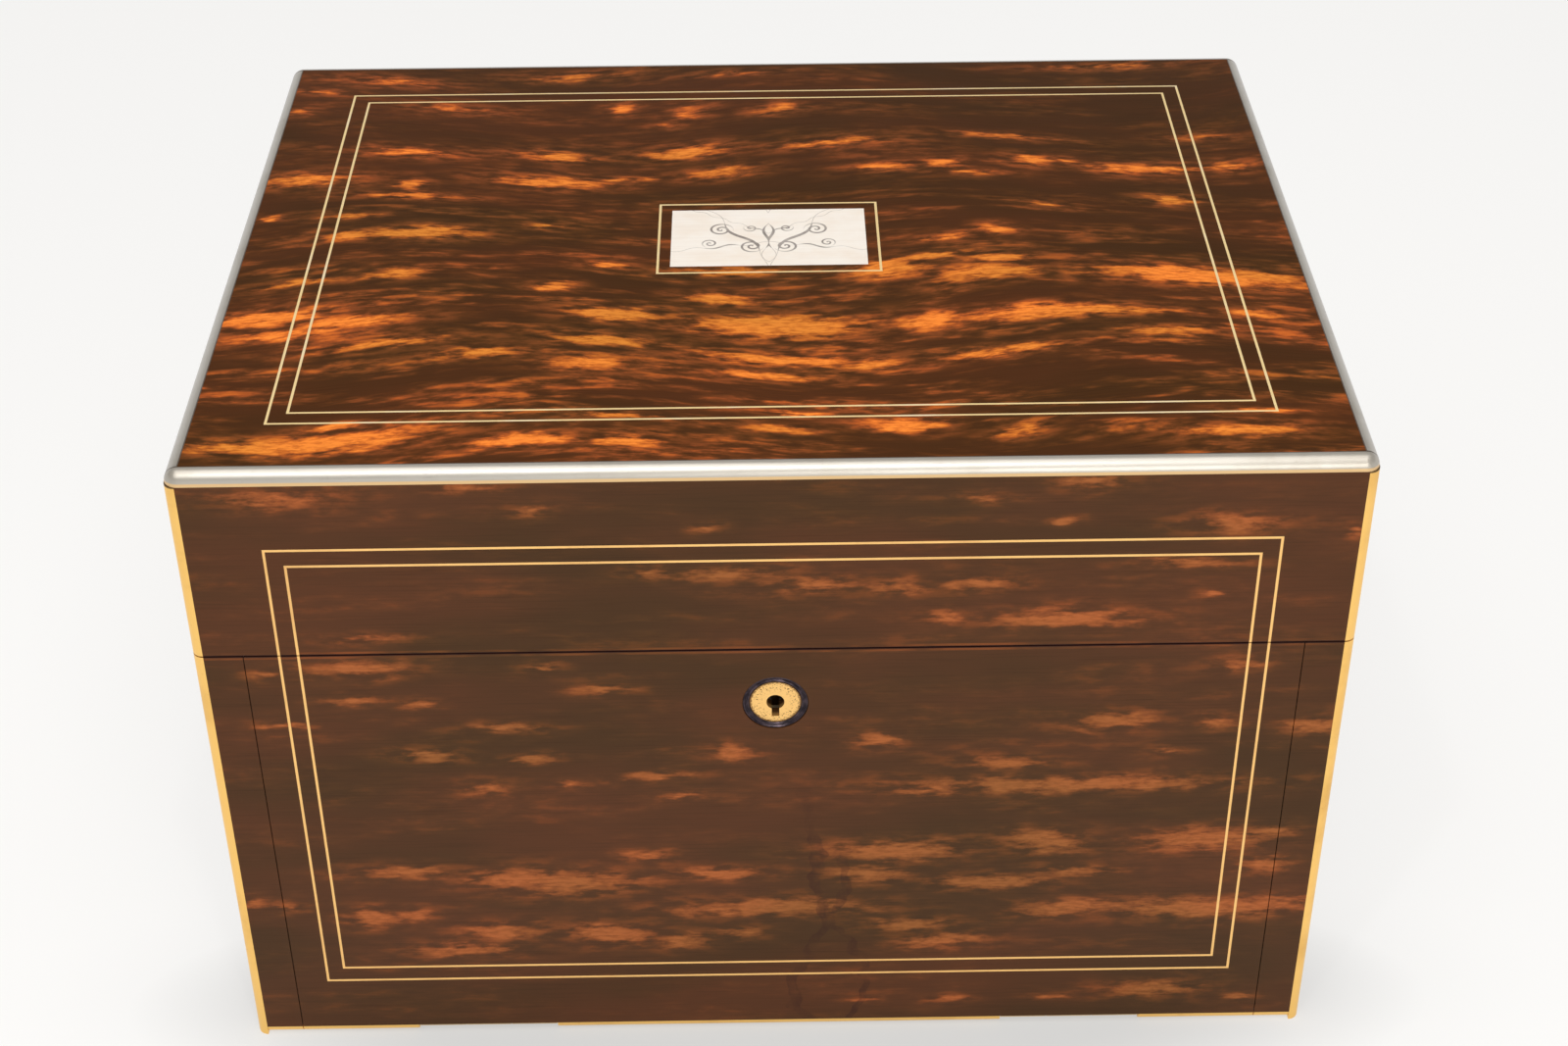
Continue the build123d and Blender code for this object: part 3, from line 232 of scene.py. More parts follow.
# ---------------------------------------------------------------- coromandel veneer
# The outside is laid with saw-cut coromandel a millimetre thick, a near-black heartwood with
# orange flames that run along the grain. It is glued to the boards and French polished.
top_flames = [
    (-120, 103, 22, 4.5, 0.8), (-60, 105, 24, 4, 0.65), (108, 107, 30, 3, 0.75), (-10, 107, 20, 2.5, 0.5),
    (-140, 96, 12, 3, 0.7), (-146, 83, 6, 4, 0.7), (-96, 83, 18, 4, 0.65), (-44.5, 82, 5, 4, 1.0),
    (-24, 79, 8, 6, 0.65), (3, 80, 9, 4, 0.75), (-32, 69, 6, 3, 0.6), (-107, 54, 16, 4.5, 0.85),
    (-63, 50, 15, 4, 1.0), (-25, 51, 14, 4.5, 1.0), (20, 57, 22, 3.5, 0.75), (72, 60, 24, 2.5, 0.6),
    (132, 57, 12, 3.5, 0.65), (-137, 37, 16, 4.5, 1.0), (-106, 33.5, 4.5, 4, 1.05), (-64, 33.5, 17, 4.2, 1.1),
    (-42, 35, 12, 2, 0.8), (-16, 37, 11, 3.2, 1.0), (33.5, 40.5, 10, 3, 0.95), (53, 43, 6, 3.2, 1.0),
    (78, 44, 8, 4, 1.0), (89, 43, 4, 3, 0.9), (105, 38, 11, 3.8, 1.0), (117, 38, 15, 3.6, 1.0),
    (138, 38.5, 9, 3.4, 0.95), (60, 37, 12, 2.4, 0.7), (-105, 27, 20, 2.4, 0.75), (118, 18, 8, 3.4, 1.0),
    (82, 17, 6, 2.6, 0.75), (-144, 13, 4, 1.4, 0.9), (-122, 14, 9, 1.8, 0.7), (-100, 4, 15, 3.4, 1.15),
    (-120, 3.5, 10, 3, 0.85), (-65, 6, 8, 2, 0.75), (64.5, 1, 5, 3, 1.1), (50, -3, 9, 1.6, 0.75),
    (-47, -16.5, 9, 2.4, 0.75), (32.5, -21.5, 10, 4.6, 1.15), (-9, -21.5, 16, 2.2, 0.9), (45, -14, 16, 2.2, 0.8),
    (65, -15, 13, 2.2, 0.9), (61, -23.5, 13, 3.8, 1.15), (120, -27, 27, 4.8, 1.15), (139, -28, 14, 4.2, 1.0),
    (-106, -20, 11, 3, 0.75), (-59, -27.5, 5, 2.8, 0.95), (-132, -25, 13, 1.8, 0.8), (-12.5, -35.5, 10, 3.4, 1.0),
    (-43, -43.5, 12, 3.8, 1.1), (2, -51.5, 21, 5.4, 1.2), (44, -49.5, 9, 4, 1.1), (82, -44, 28, 3.2, 1.1),
    (-137, -44, 18, 3.6, 1.0), (-115, -46.5, 15, 3.6, 1.05), (-132, -53, 16, 2.8, 0.85), (-45, -57, 16, 3.4, 0.9),
    (-102, -57, 22, 2.8, 0.75), (2, -68, 21, 3.2, 1.0), (60, -65.5, 16, 2.8, 0.9), (-2, -76, 16, 2.2, 1.05),
    (27, -70.5, 8, 2.8, 0.95), (-77, -62, 15, 2.8, 0.8), (-48, -68, 13, 4.4, 0.85), (107, -56.5, 16, 2.2, 0.75),
    (133, -48, 10, 2.8, 0.9), (-120, -106.5, 28, 4.2, 1.15), (-62, -104.5, 14, 2.8, 1.1), (-36, -105.5, 10, 2.8, 1.0),
    (2, -102, 10, 2.2, 0.8), (33, -101, 11, 3.2, 1.0), (63, -104.5, 6, 2.8, 0.95), (118, -104, 16, 3.2, 0.95),
    (-40, -95, 16, 1.6, 0.8), (-112, -98, 8, 1.4, 0.9), (8, -95, 16, 1.5, 0.75), (128, -95, 12, 1.6, 0.7),
]
front_flames = [
    (-125, 191, 20, 3.4, 0.8), (-61.5, 185.5, 4.5, 2, 1.0), (-78, 193, 13, 2.2, 0.6), (-17, 180, 4.5, 1.4, 0.9),
    (52, 188, 10, 1.6, 0.8), (80, 192.5, 8, 2.8, 1.05), (75.5, 181.5, 4, 1.5, 0.95), (117, 179, 13, 3.2, 1.1),
    (146, 175, 3.5, 2.2, 1.0), (-12, 165, 15, 2.6, 1.0), (-33, 165, 7, 2.2, 0.85), (10, 161, 15, 3.2, 0.85),
    (33, 160.5, 10, 3.2, 0.85), (53, 161.5, 12, 2.6, 1.0), (45, 150.5, 5.5, 2.4, 1.05), (77, 149.5, 19, 3.6, 1.1),
    (107, 166.5, 15, 1.8, 0.85), (113, 156, 4.5, 1.5, 0.85), (-107, 145.5, 15, 1.8, 0.65), (-111, 135.5, 14, 3.2, 1.0),
    (-135, 134, 5, 1.7, 0.85), (-60, 136, 5, 1.7, 0.95), (-111, 125.5, 9, 1.5, 0.85), (-93, 124.5, 4.5, 1.5, 0.9),
    (-46, 127, 8, 1.7, 0.9), (-131, 117, 8, 1.5, 0.85), (-72.5, 115, 12, 1.7, 0.9), (-94.5, 106, 8.5, 2.4, 1.1),
    (-66, 104, 5, 1.7, 1.0), (-11, 106, 7.5, 3.2, 0.95), (27, 108.5, 6, 2.7, 1.0), (-79, 94, 7, 3.2, 0.75),
    (-56, 95, 5, 1.8, 0.75), (-32, 97, 11, 1.5, 0.8), (-27, 89, 7, 1.8, 0.75), (62, 100.5, 16, 2.2, 0.75),
    (90, 114, 12, 3.8, 0.9), (118, 113.5, 7, 2.8, 0.85), (122, 133, 8, 2.4, 0.85), (145, 112, 7, 2.4, 1.1),
    (105, 103, 6, 1.5, 0.75), (80, 92.5, 44, 2.8, 1.05), (42, 91, 16, 1.8, 0.75), (32, 69, 17, 3.6, 1.1),
    (74, 71.5, 11, 4.2, 1.05), (119, 71.5, 14, 3.8, 1.15), (137, 74, 8, 2.6, 0.9), (-35, 68.5, 7, 2.6, 0.85),
    (-105, 63, 16, 3.2, 0.75), (-70, 60.5, 16, 4.2, 0.95), (-58, 58, 20, 4.4, 0.9), (-16, 61.5, 13, 2.4, 1.05),
    (27, 60.5, 12, 3.2, 0.95), (60, 57, 16, 2.7, 1.0), (84, 60.5, 13, 2.7, 0.75), (135, 61.5, 7, 3.2, 0.85),
    (-3, 47.5, 26, 3.2, 1.05), (-115, 45.5, 7, 3.6, 1.05), (-103, 47, 6, 2.3, 0.95), (-78, 40.5, 12, 3.8, 0.9),
    (-47, 39, 13, 3.8, 1.05), (82, 46.5, 13, 3.2, 0.95), (120, 45.5, 28, 3.8, 1.1), (-13, 38, 8, 2.3, 0.85),
    (-27, 35.5, 7, 3.6, 0.85), (37, 40.5, 13, 2.3, 0.85), (47, 34, 13, 2.8, 0.85), (-90, 33, 16, 2.8, 0.8),
    (107, 13, 16, 3.2, 0.8), (135, 10, 5, 1.7, 0.85), (50, 10.5, 5, 1.9, 0.9), (25, 11, 5, 1.3, 0.75),
    (-137, 51, 4, 2.4, 0.8), (80, 11, 7, 1.6, 0.65), (147, 47, 6, 2.4, 0.8), (-146, 53, 4, 2.2, 0.7),
]
grain_wave = 170.0  # length of the slow wave in the grain of the top


def grain_lift(x, y):
    """How far the slow wave of the lid's grain carries a flame towards the back."""
    return 5.0 * cos(2 * pi * (x + 19 + 0.52 * y) / grain_wave)


def nearest_flame(place, flames, sway):
    """How deep each place lies in a flame: 1 at its heart, 0 at its rim, less outside."""
    curl = place.noise((9, 2.6, 2.6), 2.0, output=1)
    spot = place + (sway - 0.5) * (9.0, 6.0, 0.0) + (curl - (0.5, 0.5, 0.5)) * (6.0, 4.0, 0.0)
    depth = None
    for along, across, length, width, heat in flames:
        shift = (-along / length, -across / width, 0.0)
        away = spot.maths("MULTIPLY_ADD", (1 / length, 1 / width, 0.0), shift)
        reach = heat - away.maths("LENGTH", output=1)
        depth = reach if depth is None else depth.most(reach)
    return depth


def veneer_finish(name, place_of, flames, richness_of, bands, shine, marks_of=None):
    """French-polished coromandel whose flames follow a face of the box."""
    material, place = new_finish(name)
    place = place_of(place)
    richness = richness_of(place)
    sway = place.noise((34, 13, 13), 2.0)
    depth = nearest_flame(place, flames, sway)
    clouds = (place + (sway - 0.5) * (0.0, 9.0, 0.0)).noise((46, 7, 7), 4.0, 0.62)
    ragged = place.noise((9.5, 3.0, 3.0), 5.0, 0.56)
    flecks = place.noise((3.4, 1.0, 1.0), 3.0, 0.6)
    veins = ragged * 0.72 + flecks * 0.28
    halo = depth.rise(-1.8, 0.2) * 0.50
    glow = ragged.rise(0.33, 0.66) * halo.most(clouds.rise(0.44, 0.66) * richness)
    flame = (depth * 1.3 + (veins - 0.5) * 3.0 + 0.16).rise(-0.12, 1.05)
    flame = flame * (flecks.rise(0.36, 0.60) * 0.30 + 0.72)
    heat = glow + flame * (1 - glow)
    stain, wear = marks_of(place) if marks_of else (None, None)
    if wear is not None:
        heat = heat.most(wear)
    wood = heat.node("ValToRGB", {"Fac": heat}, stops=bands)
    pores = place.noise((26, 0.5, 0.5), 3.0, 0.6)
    wood = wood.tint((pores * 0.8 + 0.60).pick((0, 0, 0), (1, 1, 1)))
    dusk = place.noise((80, 24, 24), 2.0)
    wood = wood.tint(dusk.rise(0.3, 0.7).pick((0.80, 0.89, 0.82), (1.16, 1.02, 1.0)))
    if stain is not None:
        wood = stain.pick(wood, (0.030, 0.011, 0.008))
    lay(material, Base_Color=wood, Roughness=0.17 + pores * 0.1, Specular_IOR_Level=shine,
        Normal=(pores + sway * 6).bump(0.01))
    return material


def top_place(place):
    x, y, z = place.axes()
    lift = ((x + 19.0 + y * 0.52) * (2 * pi / grain_wave)).maths("COSINE") * 5.0
    return place.joined(x, y + lift, z)


def upright_place(place):
    x, y, z = place.axes()
    front_face = (y + 117.5).rise(0.5, 0.0)
    side = x.maths("ABSOLUTE").rise(151.2, 151.4)
    along = x + side * (y * x.maths("SIGN") - x)
    return place.joined(along, z + (1 - front_face) * (200 - z * 2), side * 60 - front_face * 30)


top_bands = [(0.0, (0.060, 0.022, 0.007)), (0.14, (0.095, 0.032, 0.009)), (0.30, (0.17, 0.050, 0.014)),
             (0.46, (0.28, 0.070, 0.016)), (0.64, (0.43, 0.110, 0.019)), (0.82, (0.58, 0.160, 0.024)),
             (1.0, (0.76, 0.235, 0.036))]
front_bands = [(0.0, (0.069, 0.029, 0.012)), (0.16, (0.085, 0.034, 0.013)), (0.34, (0.130, 0.044, 0.014)),
               (0.52, (0.180, 0.057, 0.018)), (0.76, (0.24, 0.074, 0.021)), (1.0, (0.32, 0.102, 0.030))]
# Each flame's heat is cut towards the back of the lid, and the red glow between them is raised towards the front:
# painted shade that darkens the top towards the back.
flowing_flames = [(x, y + grain_lift(x, y), length, width, heat * (1 - max(0, y + 20) / 330))
                  for x, y, length, width, heat in top_flames]
quiet_flames = [(x, z, length, width, heat * (1 - max(0, z - 80) / 420)) for x, z, length, width, heat in front_flames]
dress(veneer_finish("coromandel_lid", top_place, flowing_flames,
                    lambda place: place.axes()[1].rise(60, -60) * 0.42 + 0.26, top_bands, 0.05), "lid_top_veneer")


def old_runs(place):
    """Two old runs of polish low on the front, and the polish worn off the lips of the lid's joint."""
    x, y, depth = place.axes()
    wander = place.noise((60, 26, 26), 3.0, 0.6)
    soft = place.noise((5, 9, 9), 3.0, 0.6).rise(0.25, 0.75)
    first = (x + (wander - 0.5) * 26 - 9).stripe(0.0, 1.9) * (1 - y.rise(72, 100))
    second = (x - (wander - 0.5) * 30 - 21).stripe(0.0, 1.4) * (1 - y.rise(48, 80))
    on_front = 1 - depth.rise(-29.0, -28.0)
    height = (y - on_front * 81 - 59.5).maths("ABSOLUTE")
    rubbed_through = place.noise((24, 4, 4), 3.0, 0.6).rise(0.36, 0.64)
    lips = height.stripe(0.75, 0.45) * rubbed_through * 0.46
    return (first.most(second) * soft * on_front * 0.60).most(height.rise(0.5, 0.3)), lips


dress(veneer_finish("coromandel_walls", upright_place, quiet_flames, lambda place: 0.30, front_bands, 0.10,
                    old_runs), "lid_front_veneer", "lid_side_veneers", "fall_veneer", "base_veneers")

# ---------------------------------------------------------------- edging and stringing
# Nickel-silver beads cap the top of the lid, brass ones guard the upright corners and the foot,
# and thin square brass lines are let into the veneer. All are glued, pinned and polished flush.
def metal_finish(name, colour, shadow, roughness, brush, wear=None):
    """Rubbed metal: fine scratches along one axis, soft stains and a duller patch here and there."""
    material, place = new_finish(name)
    stains = place.noise((22, 22, 22), 4.0, 0.6)
    specks = place.noise((1.6, 1.6, 1.6), 3.0, 0.6)
    scratches = place.noise(brush, 2.0, 0.6)
    tone = (stains.rise(0.48, 0.74) * 0.7 + specks.rise(0.62, 0.8) * 0.5).pick(colour, shadow)
    if wear is not None:
        tone = wear(place, tone)
    lay(material, Base_Color=tone, Metallic=1.0, Normal=scratches.bump(0.004),
        Roughness=roughness + stains * 0.12 + (scratches - 0.5) * 0.12)
    return material


def bead_wear(place, tone):
    """Brass shows through along the lower lip of the top bead, and dirt lies in its seams."""
    x, y, z = place.axes()
    side_seam = (1 - x.maths("ABSOLUTE").rise(148.9, 149.1)) * y.rise(-115.2, -115.0) * (1 - y.rise(112.0, 112.2))
    seams = side_seam.most((y + 115.2).stripe(0.0, 0.30)).most((y - 112.2).stripe(0.0, 0.30))
    return (seams * 0.85).pick((1 - z.rise(194.9, 195.3)).pick(tone, (0.66, 0.44, 0.21)), (0.07, 0.045, 0.03))


def corner_wear(place, tone):
    """Dirt lies in the seam where the corner edging meets the bead."""
    return (place.axes()[2].rise(193.7, 193.9) * 0.85).pick(tone, (0.07, 0.045, 0.03))


nickel = metal_finish("nickel_bead", (0.42, 0.395, 0.355), (0.34, 0.31, 0.26), 0.26, (30, 1.2, 1.2), bead_wear)
lay(nickel, Metallic=0.50, Coat_Weight=0.3, Coat_Roughness=0.13)
gilt = metal_finish("gilt_bead", (0.98, 0.62, 0.19), (0.78, 0.46, 0.13), 0.38, (1.2, 1.2, 22), corner_wear)
lid_inlay = metal_finish("lid_inlay_brass", (0.92, 0.70, 0.34), (0.90, 0.80, 0.60), 0.36, (14, 14, 3))
wall_inlay = metal_finish("wall_inlay_brass", (0.84, 0.50, 0.17), (0.66, 0.36, 0.12), 0.36, (14, 14, 3))
for lines in (lid_inlay, wall_inlay):
    lay(lines, Metallic=0.35)
dress(nickel, "lid_top_edging")
dress(gilt, "lid_corner_edging", "base_corner_edging", "base_foot_edging", "fall_foot_edging")
dress(lid_inlay, "lid_top_stringing")
dress(wall_inlay, "lid_front_stringing", "fall_stringing")

# ---------------------------------------------------------------- plate
# A small silver plate is let into the middle of the lid. It is rubbed along its length and
# engraved with a plain symmetrical scroll, left and right alike.
plate_silver, place = new_finish("plate_silver")
plate_x, plate_y, plate_z = (place - (0.0, -1.5, 0.0)).axes()
mirrored_x = plate_x.maths("ABSOLUTE")


def scroll(middle_x, middle_y, reach, pitch, turn):
    """An engraved spiral about a point of the plate, mirrored to both sides."""
    away_x, away_y = mirrored_x - middle_x, plate_y - middle_y
    radius = (away_x * away_x + away_y * away_y).maths("SQRT")
    angle = away_y.maths("ARCTAN2", away_x) * (turn / (2 * pi))
    swing = (radius * (1 / pitch) + angle).maths("FRACT")
    return swing.stripe(0.5, 0.20) * (1 - radius.rise(reach - 0.5, reach))


def stroke(start, end, swell):
    """An engraved stroke between two points, bowed like an S and thickest at its middle."""
    run_x, run_y = end[0] - start[0], end[1] - start[1]
    length = (run_x * run_x + run_y * run_y) ** 0.5
    away_x, away_y = mirrored_x - start[0], plate_y - start[1]
    along = (away_x * (run_x / length) + away_y * (run_y / length)) * (1 / length)
    beside = away_y * (run_x / length) - away_x * (run_y / length)
    bow = (along * (2 * pi)).maths("SINE") * (length * 0.07)
    width = (along * (1 - along)).most(0.0) * (4 * swell)
    gap = (beside - bow).maths("ABSOLUTE") - width
    return 1 - gap.rise(-0.02, 0.14)


engraved = stroke((2.6, -8.0), (12.6, 8.2), 0.55).most(stroke((0.9, -6.5), (0.3, 7.5), 0.40))
engraved = engraved.most(stroke((8.5, -4.5), (18.5, -6.0), 0.28)).most(stroke((6.5, 6.8), (1.2, 3.4), 0.22))
engraved = engraved.most(scroll(4.8, -5.2, 3.6, 1.9, 1)).most(scroll(13.6, 4.6, 3.7, 1.9, -1))
engraved = engraved.most(scroll(16.8, -3.4, 2.5, 1.5, 1)).most(scroll(5.2, 5.4, 2.2, 1.4, -1))
engraved = engraved * (place.noise((2.5, 2.5, 2.5), 2.0) * 0.7 + 0.35).least(0.8)
rubbed = place.noise((40, 0.5, 0.5), 4.0, 0.6)
tarnish = place.noise((14, 9, 9), 3.0, 0.6)
silver_tone = rubbed.pick((0.88, 0.81, 0.74), (1.0, 0.96, 0.90))
silver_tone = silver_tone.tint(tarnish.rise(0.35, 0.75).pick((1, 1, 1), (0.96, 0.92, 0.88)))
lay(plate_silver, Base_Color=engraved.pick(silver_tone, (0.10, 0.075, 0.07)), Metallic=0.25,
    Roughness=0.42 + rubbed * 0.15, Normal=(rubbed * 0.5 - engraved).bump(0.03))
dress(plate_silver, "lid_plate")

# ---------------------------------------------------------------- lock face
# The lock's round brass face stands just below the veneer in a turned blued-steel ring. The ring
# has two beads with a hollow between them, and is pressed into the fall round the keyhole.
def begin(add, **options):
    """Add a primitive with nothing else selected."""
    if bpy.context.object and bpy.context.object.mode != "OBJECT":
        bpy.ops.object.mode_set(mode="OBJECT")
    bpy.ops.object.select_all(action="DESELECT")
    add(**options)
    return bpy.context.object


def pick_faces(piece, test):
    """Select in edit mode the faces whose middle and direction pass a test."""
    bpy.ops.object.mode_set(mode="EDIT")
    bpy.ops.mesh.select_mode(type="FACE")
    bpy.ops.mesh.select_all(action="DESELECT")
    bpy.ops.object.mode_set(mode="OBJECT")
    for face in piece.data.polygons:
        face.select = test(face.center, face.normal)
    bpy.ops.object.mode_set(mode="EDIT")


def settle(piece, name, material, body, angle=35):
    """Name a finished piece, keep its place in its mesh, and let it ride on a body."""
    if bpy.context.object.mode != "OBJECT":
        bpy.ops.object.mode_set(mode="OBJECT")
    bpy.ops.object.select_all(action="DESELECT")
    piece.select_set(True)
    bpy.context.view_layer.objects.active = piece
    bpy.ops.object.transform_apply(location=True, rotation=True, scale=True)
    bpy.ops.object.mode_set(mode="EDIT")
    bpy.ops.mesh.select_all(action="SELECT")
    bpy.ops.mesh.remove_doubles(threshold=1e-6)
    bpy.ops.mesh.normals_make_consistent(inside=False)
    bpy.ops.object.mode_set(mode="OBJECT")
    bpy.ops.object.shade_smooth_by_angle(angle=radians(angle))
    piece.name = piece.data.name = name
    piece.data.materials.clear()
    piece.data.materials.append(material)
    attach(piece, body)
    return piece


def turned(middle, profile, turn=(0, 0, 0), corners=48, closed=False):
    """A piece turned on the lathe from rings of a radius and a height, in millimetres."""
    radius, height = profile[0]
    piece = begin(bpy.ops.mesh.primitive_circle_add, vertices=corners, radius=radius / 1000,
                  fill_type="NOTHING" if closed else "NGON", location=(0, 0, height / 1000))
    bpy.ops.object.transform_apply(location=True)
    bpy.ops.object.mode_set(mode="EDIT")
    bpy.ops.mesh.select_mode(type="EDGE" if closed else "FACE")
    bpy.ops.mesh.select_all(action="SELECT")
    for (last_radius, last_height), (radius, height) in zip(profile, profile[1:]):
        bpy.ops.mesh.extrude_region_move(
            TRANSFORM_OT_translate={"value": (0, 0, (height - last_height) / 1000)})
        growth = radius / last_radius
        bpy.ops.transform.resize(value=(growth, growth, 1), center_override=(0, 0, height / 1000))
    bpy.ops.object.mode_set(mode="OBJECT")
    piece.rotation_euler = turn
    piece.location = [length / 1000 for length in middle]
    return piece


lock_middle = (0.0, -118.05, 122.3)
ring_profile = [(6.95, 0.0), (7.0, 0.45), (7.25, 0.72), (7.55, 0.60), (7.75, 0.34), (8.0, 0.40), (8.3, 0.78),
                (8.6, 0.70), (8.74, 0.35), (8.74, 0.0), (6.95, 0.0)]
lock_ring = turned(lock_middle, ring_profile, (pi / 2, 0, 0), 72, closed=True)
blued, place = new_finish("blued_steel")
worn = place.noise((2.2, 2.2, 2.2), 4.0, 0.6)
lay(blued, Base_Color=worn.rise(0.35, 0.75).pick((0.020, 0.014, 0.020), (0.10, 0.07, 0.085)), Metallic=0.7,
    Roughness=0.28 + worn * 0.2, Normal=worn.bump(0.02))
settle(lock_ring, "lock_ring", blued, "fall_front")

lock_brass, place = new_finish("lock_face_brass")
face_x, face_y, face_z = (place - (0.0, 0.0, 122.3)).axes()
out = (face_x * face_x + face_z * face_z).maths("SQRT")
spin = face_z.maths("ARCTAN2", face_x)
pit_noise = place.noise((0.42, 0.42, 0.42), 2.0, 0.5)
pits = pit_noise.rise(0.57, 0.65) * out.rise(2.8, 5.2)
pits = pits.most((out + (pit_noise - 0.5) * 1.6).rise(6.0, 6.7) * 0.85)
rubbed = place.noise((9, 9, 0.7), 3.0, 0.6)
# Everything behind the brass face, the keyhole's walls and the nozzle's sides, is painted dark brown: painted shade in
# the recess.
keyhole_painted_shade = face_y.rise(-118.0, -116.5)
lay(lock_brass, Base_Color=keyhole_painted_shade.most(pits).pick((0.95, 0.60, 0.22), (0.16, 0.075, 0.03)),
    Metallic=1.0, Roughness=0.36 + rubbed * 0.2 + keyhole_painted_shade * 0.2, Normal=(rubbed * 0.3 - pits).bump(0.06))
dress(lock_brass, "lock_nozzle")

# ---------------------------------------------------------------- boards
# The carcase, the lid's frame and the drawers are planed mahogany, glued and pinned. Where a
# board faces the inside of the lid or the room over the tray it is covered with silk velvet.
velvet_deep, velvet_lit = (0.008, 0.009, 0.052), (0.032, 0.036, 0.150)


def velvet_pile(place):
    """The colour and the height of a close silk pile, brushed this way and that."""
    brushed = place.noise((16, 16, 16), 3.0, 0.55)
    tufts = place.noise((0.35, 0.35, 0.35), 1.0, 0.5)
    colour = (brushed.rise(0.3, 0.72) * 0.7 + tufts * 0.3).pick(velvet_deep, velvet_lit)
    return colour, tufts + brushed * 1.5


def mahogany_colour(place, grain):
    """Straight-grained mahogany: red-brown bands and short dark pores along the grain."""
    bands = place.noise(grain, 3.0, 0.55)
    pores = place.noise(tuple(length / 9 for length in grain), 2.0, 0.5)
    colour = bands.node("ValToRGB", {"Fac": bands}, stops=[
        (0.3, (0.10, 0.030, 0.012)), (0.5, (0.20, 0.065, 0.024)), (0.72, (0.34, 0.125, 0.048))])
    return colour.tint((pores.rise(0.25, 0.5) * 0.45 + 0.55).pick((0, 0, 0), (1, 1, 1))), pores


def board_finish(name, grain, covered=None):
    """Polished mahogany, with velvet where the covered test of a place is 1."""
    material, place = new_finish(name)
    wood, pores = mahogany_colour(place, grain)
    if covered is None:
        lay(material, Base_Color=wood, Roughness=0.38 + pores * 0.12, Normal=pores.bump(0.03))
        return material
    cloth, pile = velvet_pile(place)
    hidden = covered(place)
    lay(material, Base_Color=hidden.pick(wood, cloth), Roughness=0.40 + hidden * 0.5,
        Sheen_Weight=0.12, Normal=(pores * (1 - hidden) + pile * hidden).bump(0.05))
    return material


def inner_faces(place):
    """The faces that look into the box, but not its polished rims."""
    x, y, z = place.axes()
    inside = (1 - x.maths("ABSOLUTE").rise(139.3, 139.4)) * y.rise(-107.3, -107.1) * (1 - y.rise(106.1, 106.3))
    return inside * (1 - z.stripe(140.5, 0.9))


along_x, along_y, along_z = (60, 5, 5), (5, 60, 5), (5, 5, 60)
dress(board_finish("mahogany_side_rails", along_y, inner_faces), "side_boards", "lid_side_rails")
dress(board_finish("mahogany_cross_rails", along_x, inner_faces), "lid_front_rail", "lid_back_rail", "lid_top_board")
dress(board_finish("mahogany_boards", along_x), "back_board", "base_board", "inner_front_board", "dust_board",
      "drawer_divider", "fall_panel", "lower_drawer_box", "upper_drawer_box")

# ---------------------------------------------------------------- hinges, stays and lock
# Stout brass butt hinges carry the lid and the fall, brass quadrants hold the open lid, and a
# brass and steel lock with sideways horns catches the two loops of the lid's link plate.
brass = metal_finish("fitting_brass", (0.74, 0.53, 0.25), (0.44, 0.28, 0.12), 0.30, (1.6, 18, 18))
steel = metal_finish("lock_steel", (0.50, 0.50, 0.51), (0.24, 0.23, 0.23), 0.38, (1.6, 14, 14))
dress(brass, "lid_hinge_base_leaves", "lid_hinge_lid_leaves", "fall_hinge_base_leaves", "fall_hinge_fall_leaves",
      "hinge_pins", "quadrant_stays", "quadrant_base_plates", "quadrant_lid_plates", "lock_cap",
      "lock_link_plate", "mirror_pivots")
dress(steel, "lock_case", "lock_bolt")

# ---------------------------------------------------------------- drawers
# Two shallow drawers lie behind the fall. Their fronts are veneered like the outside, with a
# turned brass knob at each side, and their boxes are thin mahogany.
dress(brass, "lower_drawer_knobs", "upper_drawer_knobs")


def drawer_place(place):
    x, y, z = place.axes()
    return place.joined(x * -1, z + 95, y)


dress(veneer_finish("coromandel_drawers", drawer_place, front_flames, lambda place: 0.30, front_bands, 0.2),
      "lower_drawer_front", "upper_drawer_front")

# ---------------------------------------------------------------- tray
# The lift-out tray is lined all over with velvet: a floor, a frame and thin partitions.
velvet, place = new_finish("silk_velvet")
pile_colour, pile_height = velvet_pile(place)
lay(velvet, Base_Color=pile_colour, Roughness=0.92, Sheen_Weight=0.35, Sheen_Roughness=0.35,
    Sheen_Tint=(0.45, 0.45, 1.0), Normal=pile_height.bump(0.12))
dress(velvet, "tray_bottom", "tray_frame", "tray_partitions")

# ---------------------------------------------------------------- glass and silver
# Four square scent bottles and seven jars of clear glass are cut with small lozenges all round,
# and closed by silver-plated caps and lids, engine-turned inside a double border line.
cut_glass, place = new_finish("cut_glass")
px, py, pz = place.axes()
cross_cut = ((px + py + pz) * (pi / 4)).maths("SINE").maths("ABSOLUTE")
back_cut = ((px + py - pz) * (pi / 4)).maths("SINE").maths("ABSOLUTE")
lozenges = cross_cut.least(back_cut)
lay(cut_glass, Base_Color=(0.97, 0.985, 0.985), Roughness=0.03, Transmission_Weight=1.0, IOR=1.5,
    Normal=lozenges.bump(0.35))
dress(cut_glass, "scent_bottles", "glass_jars")



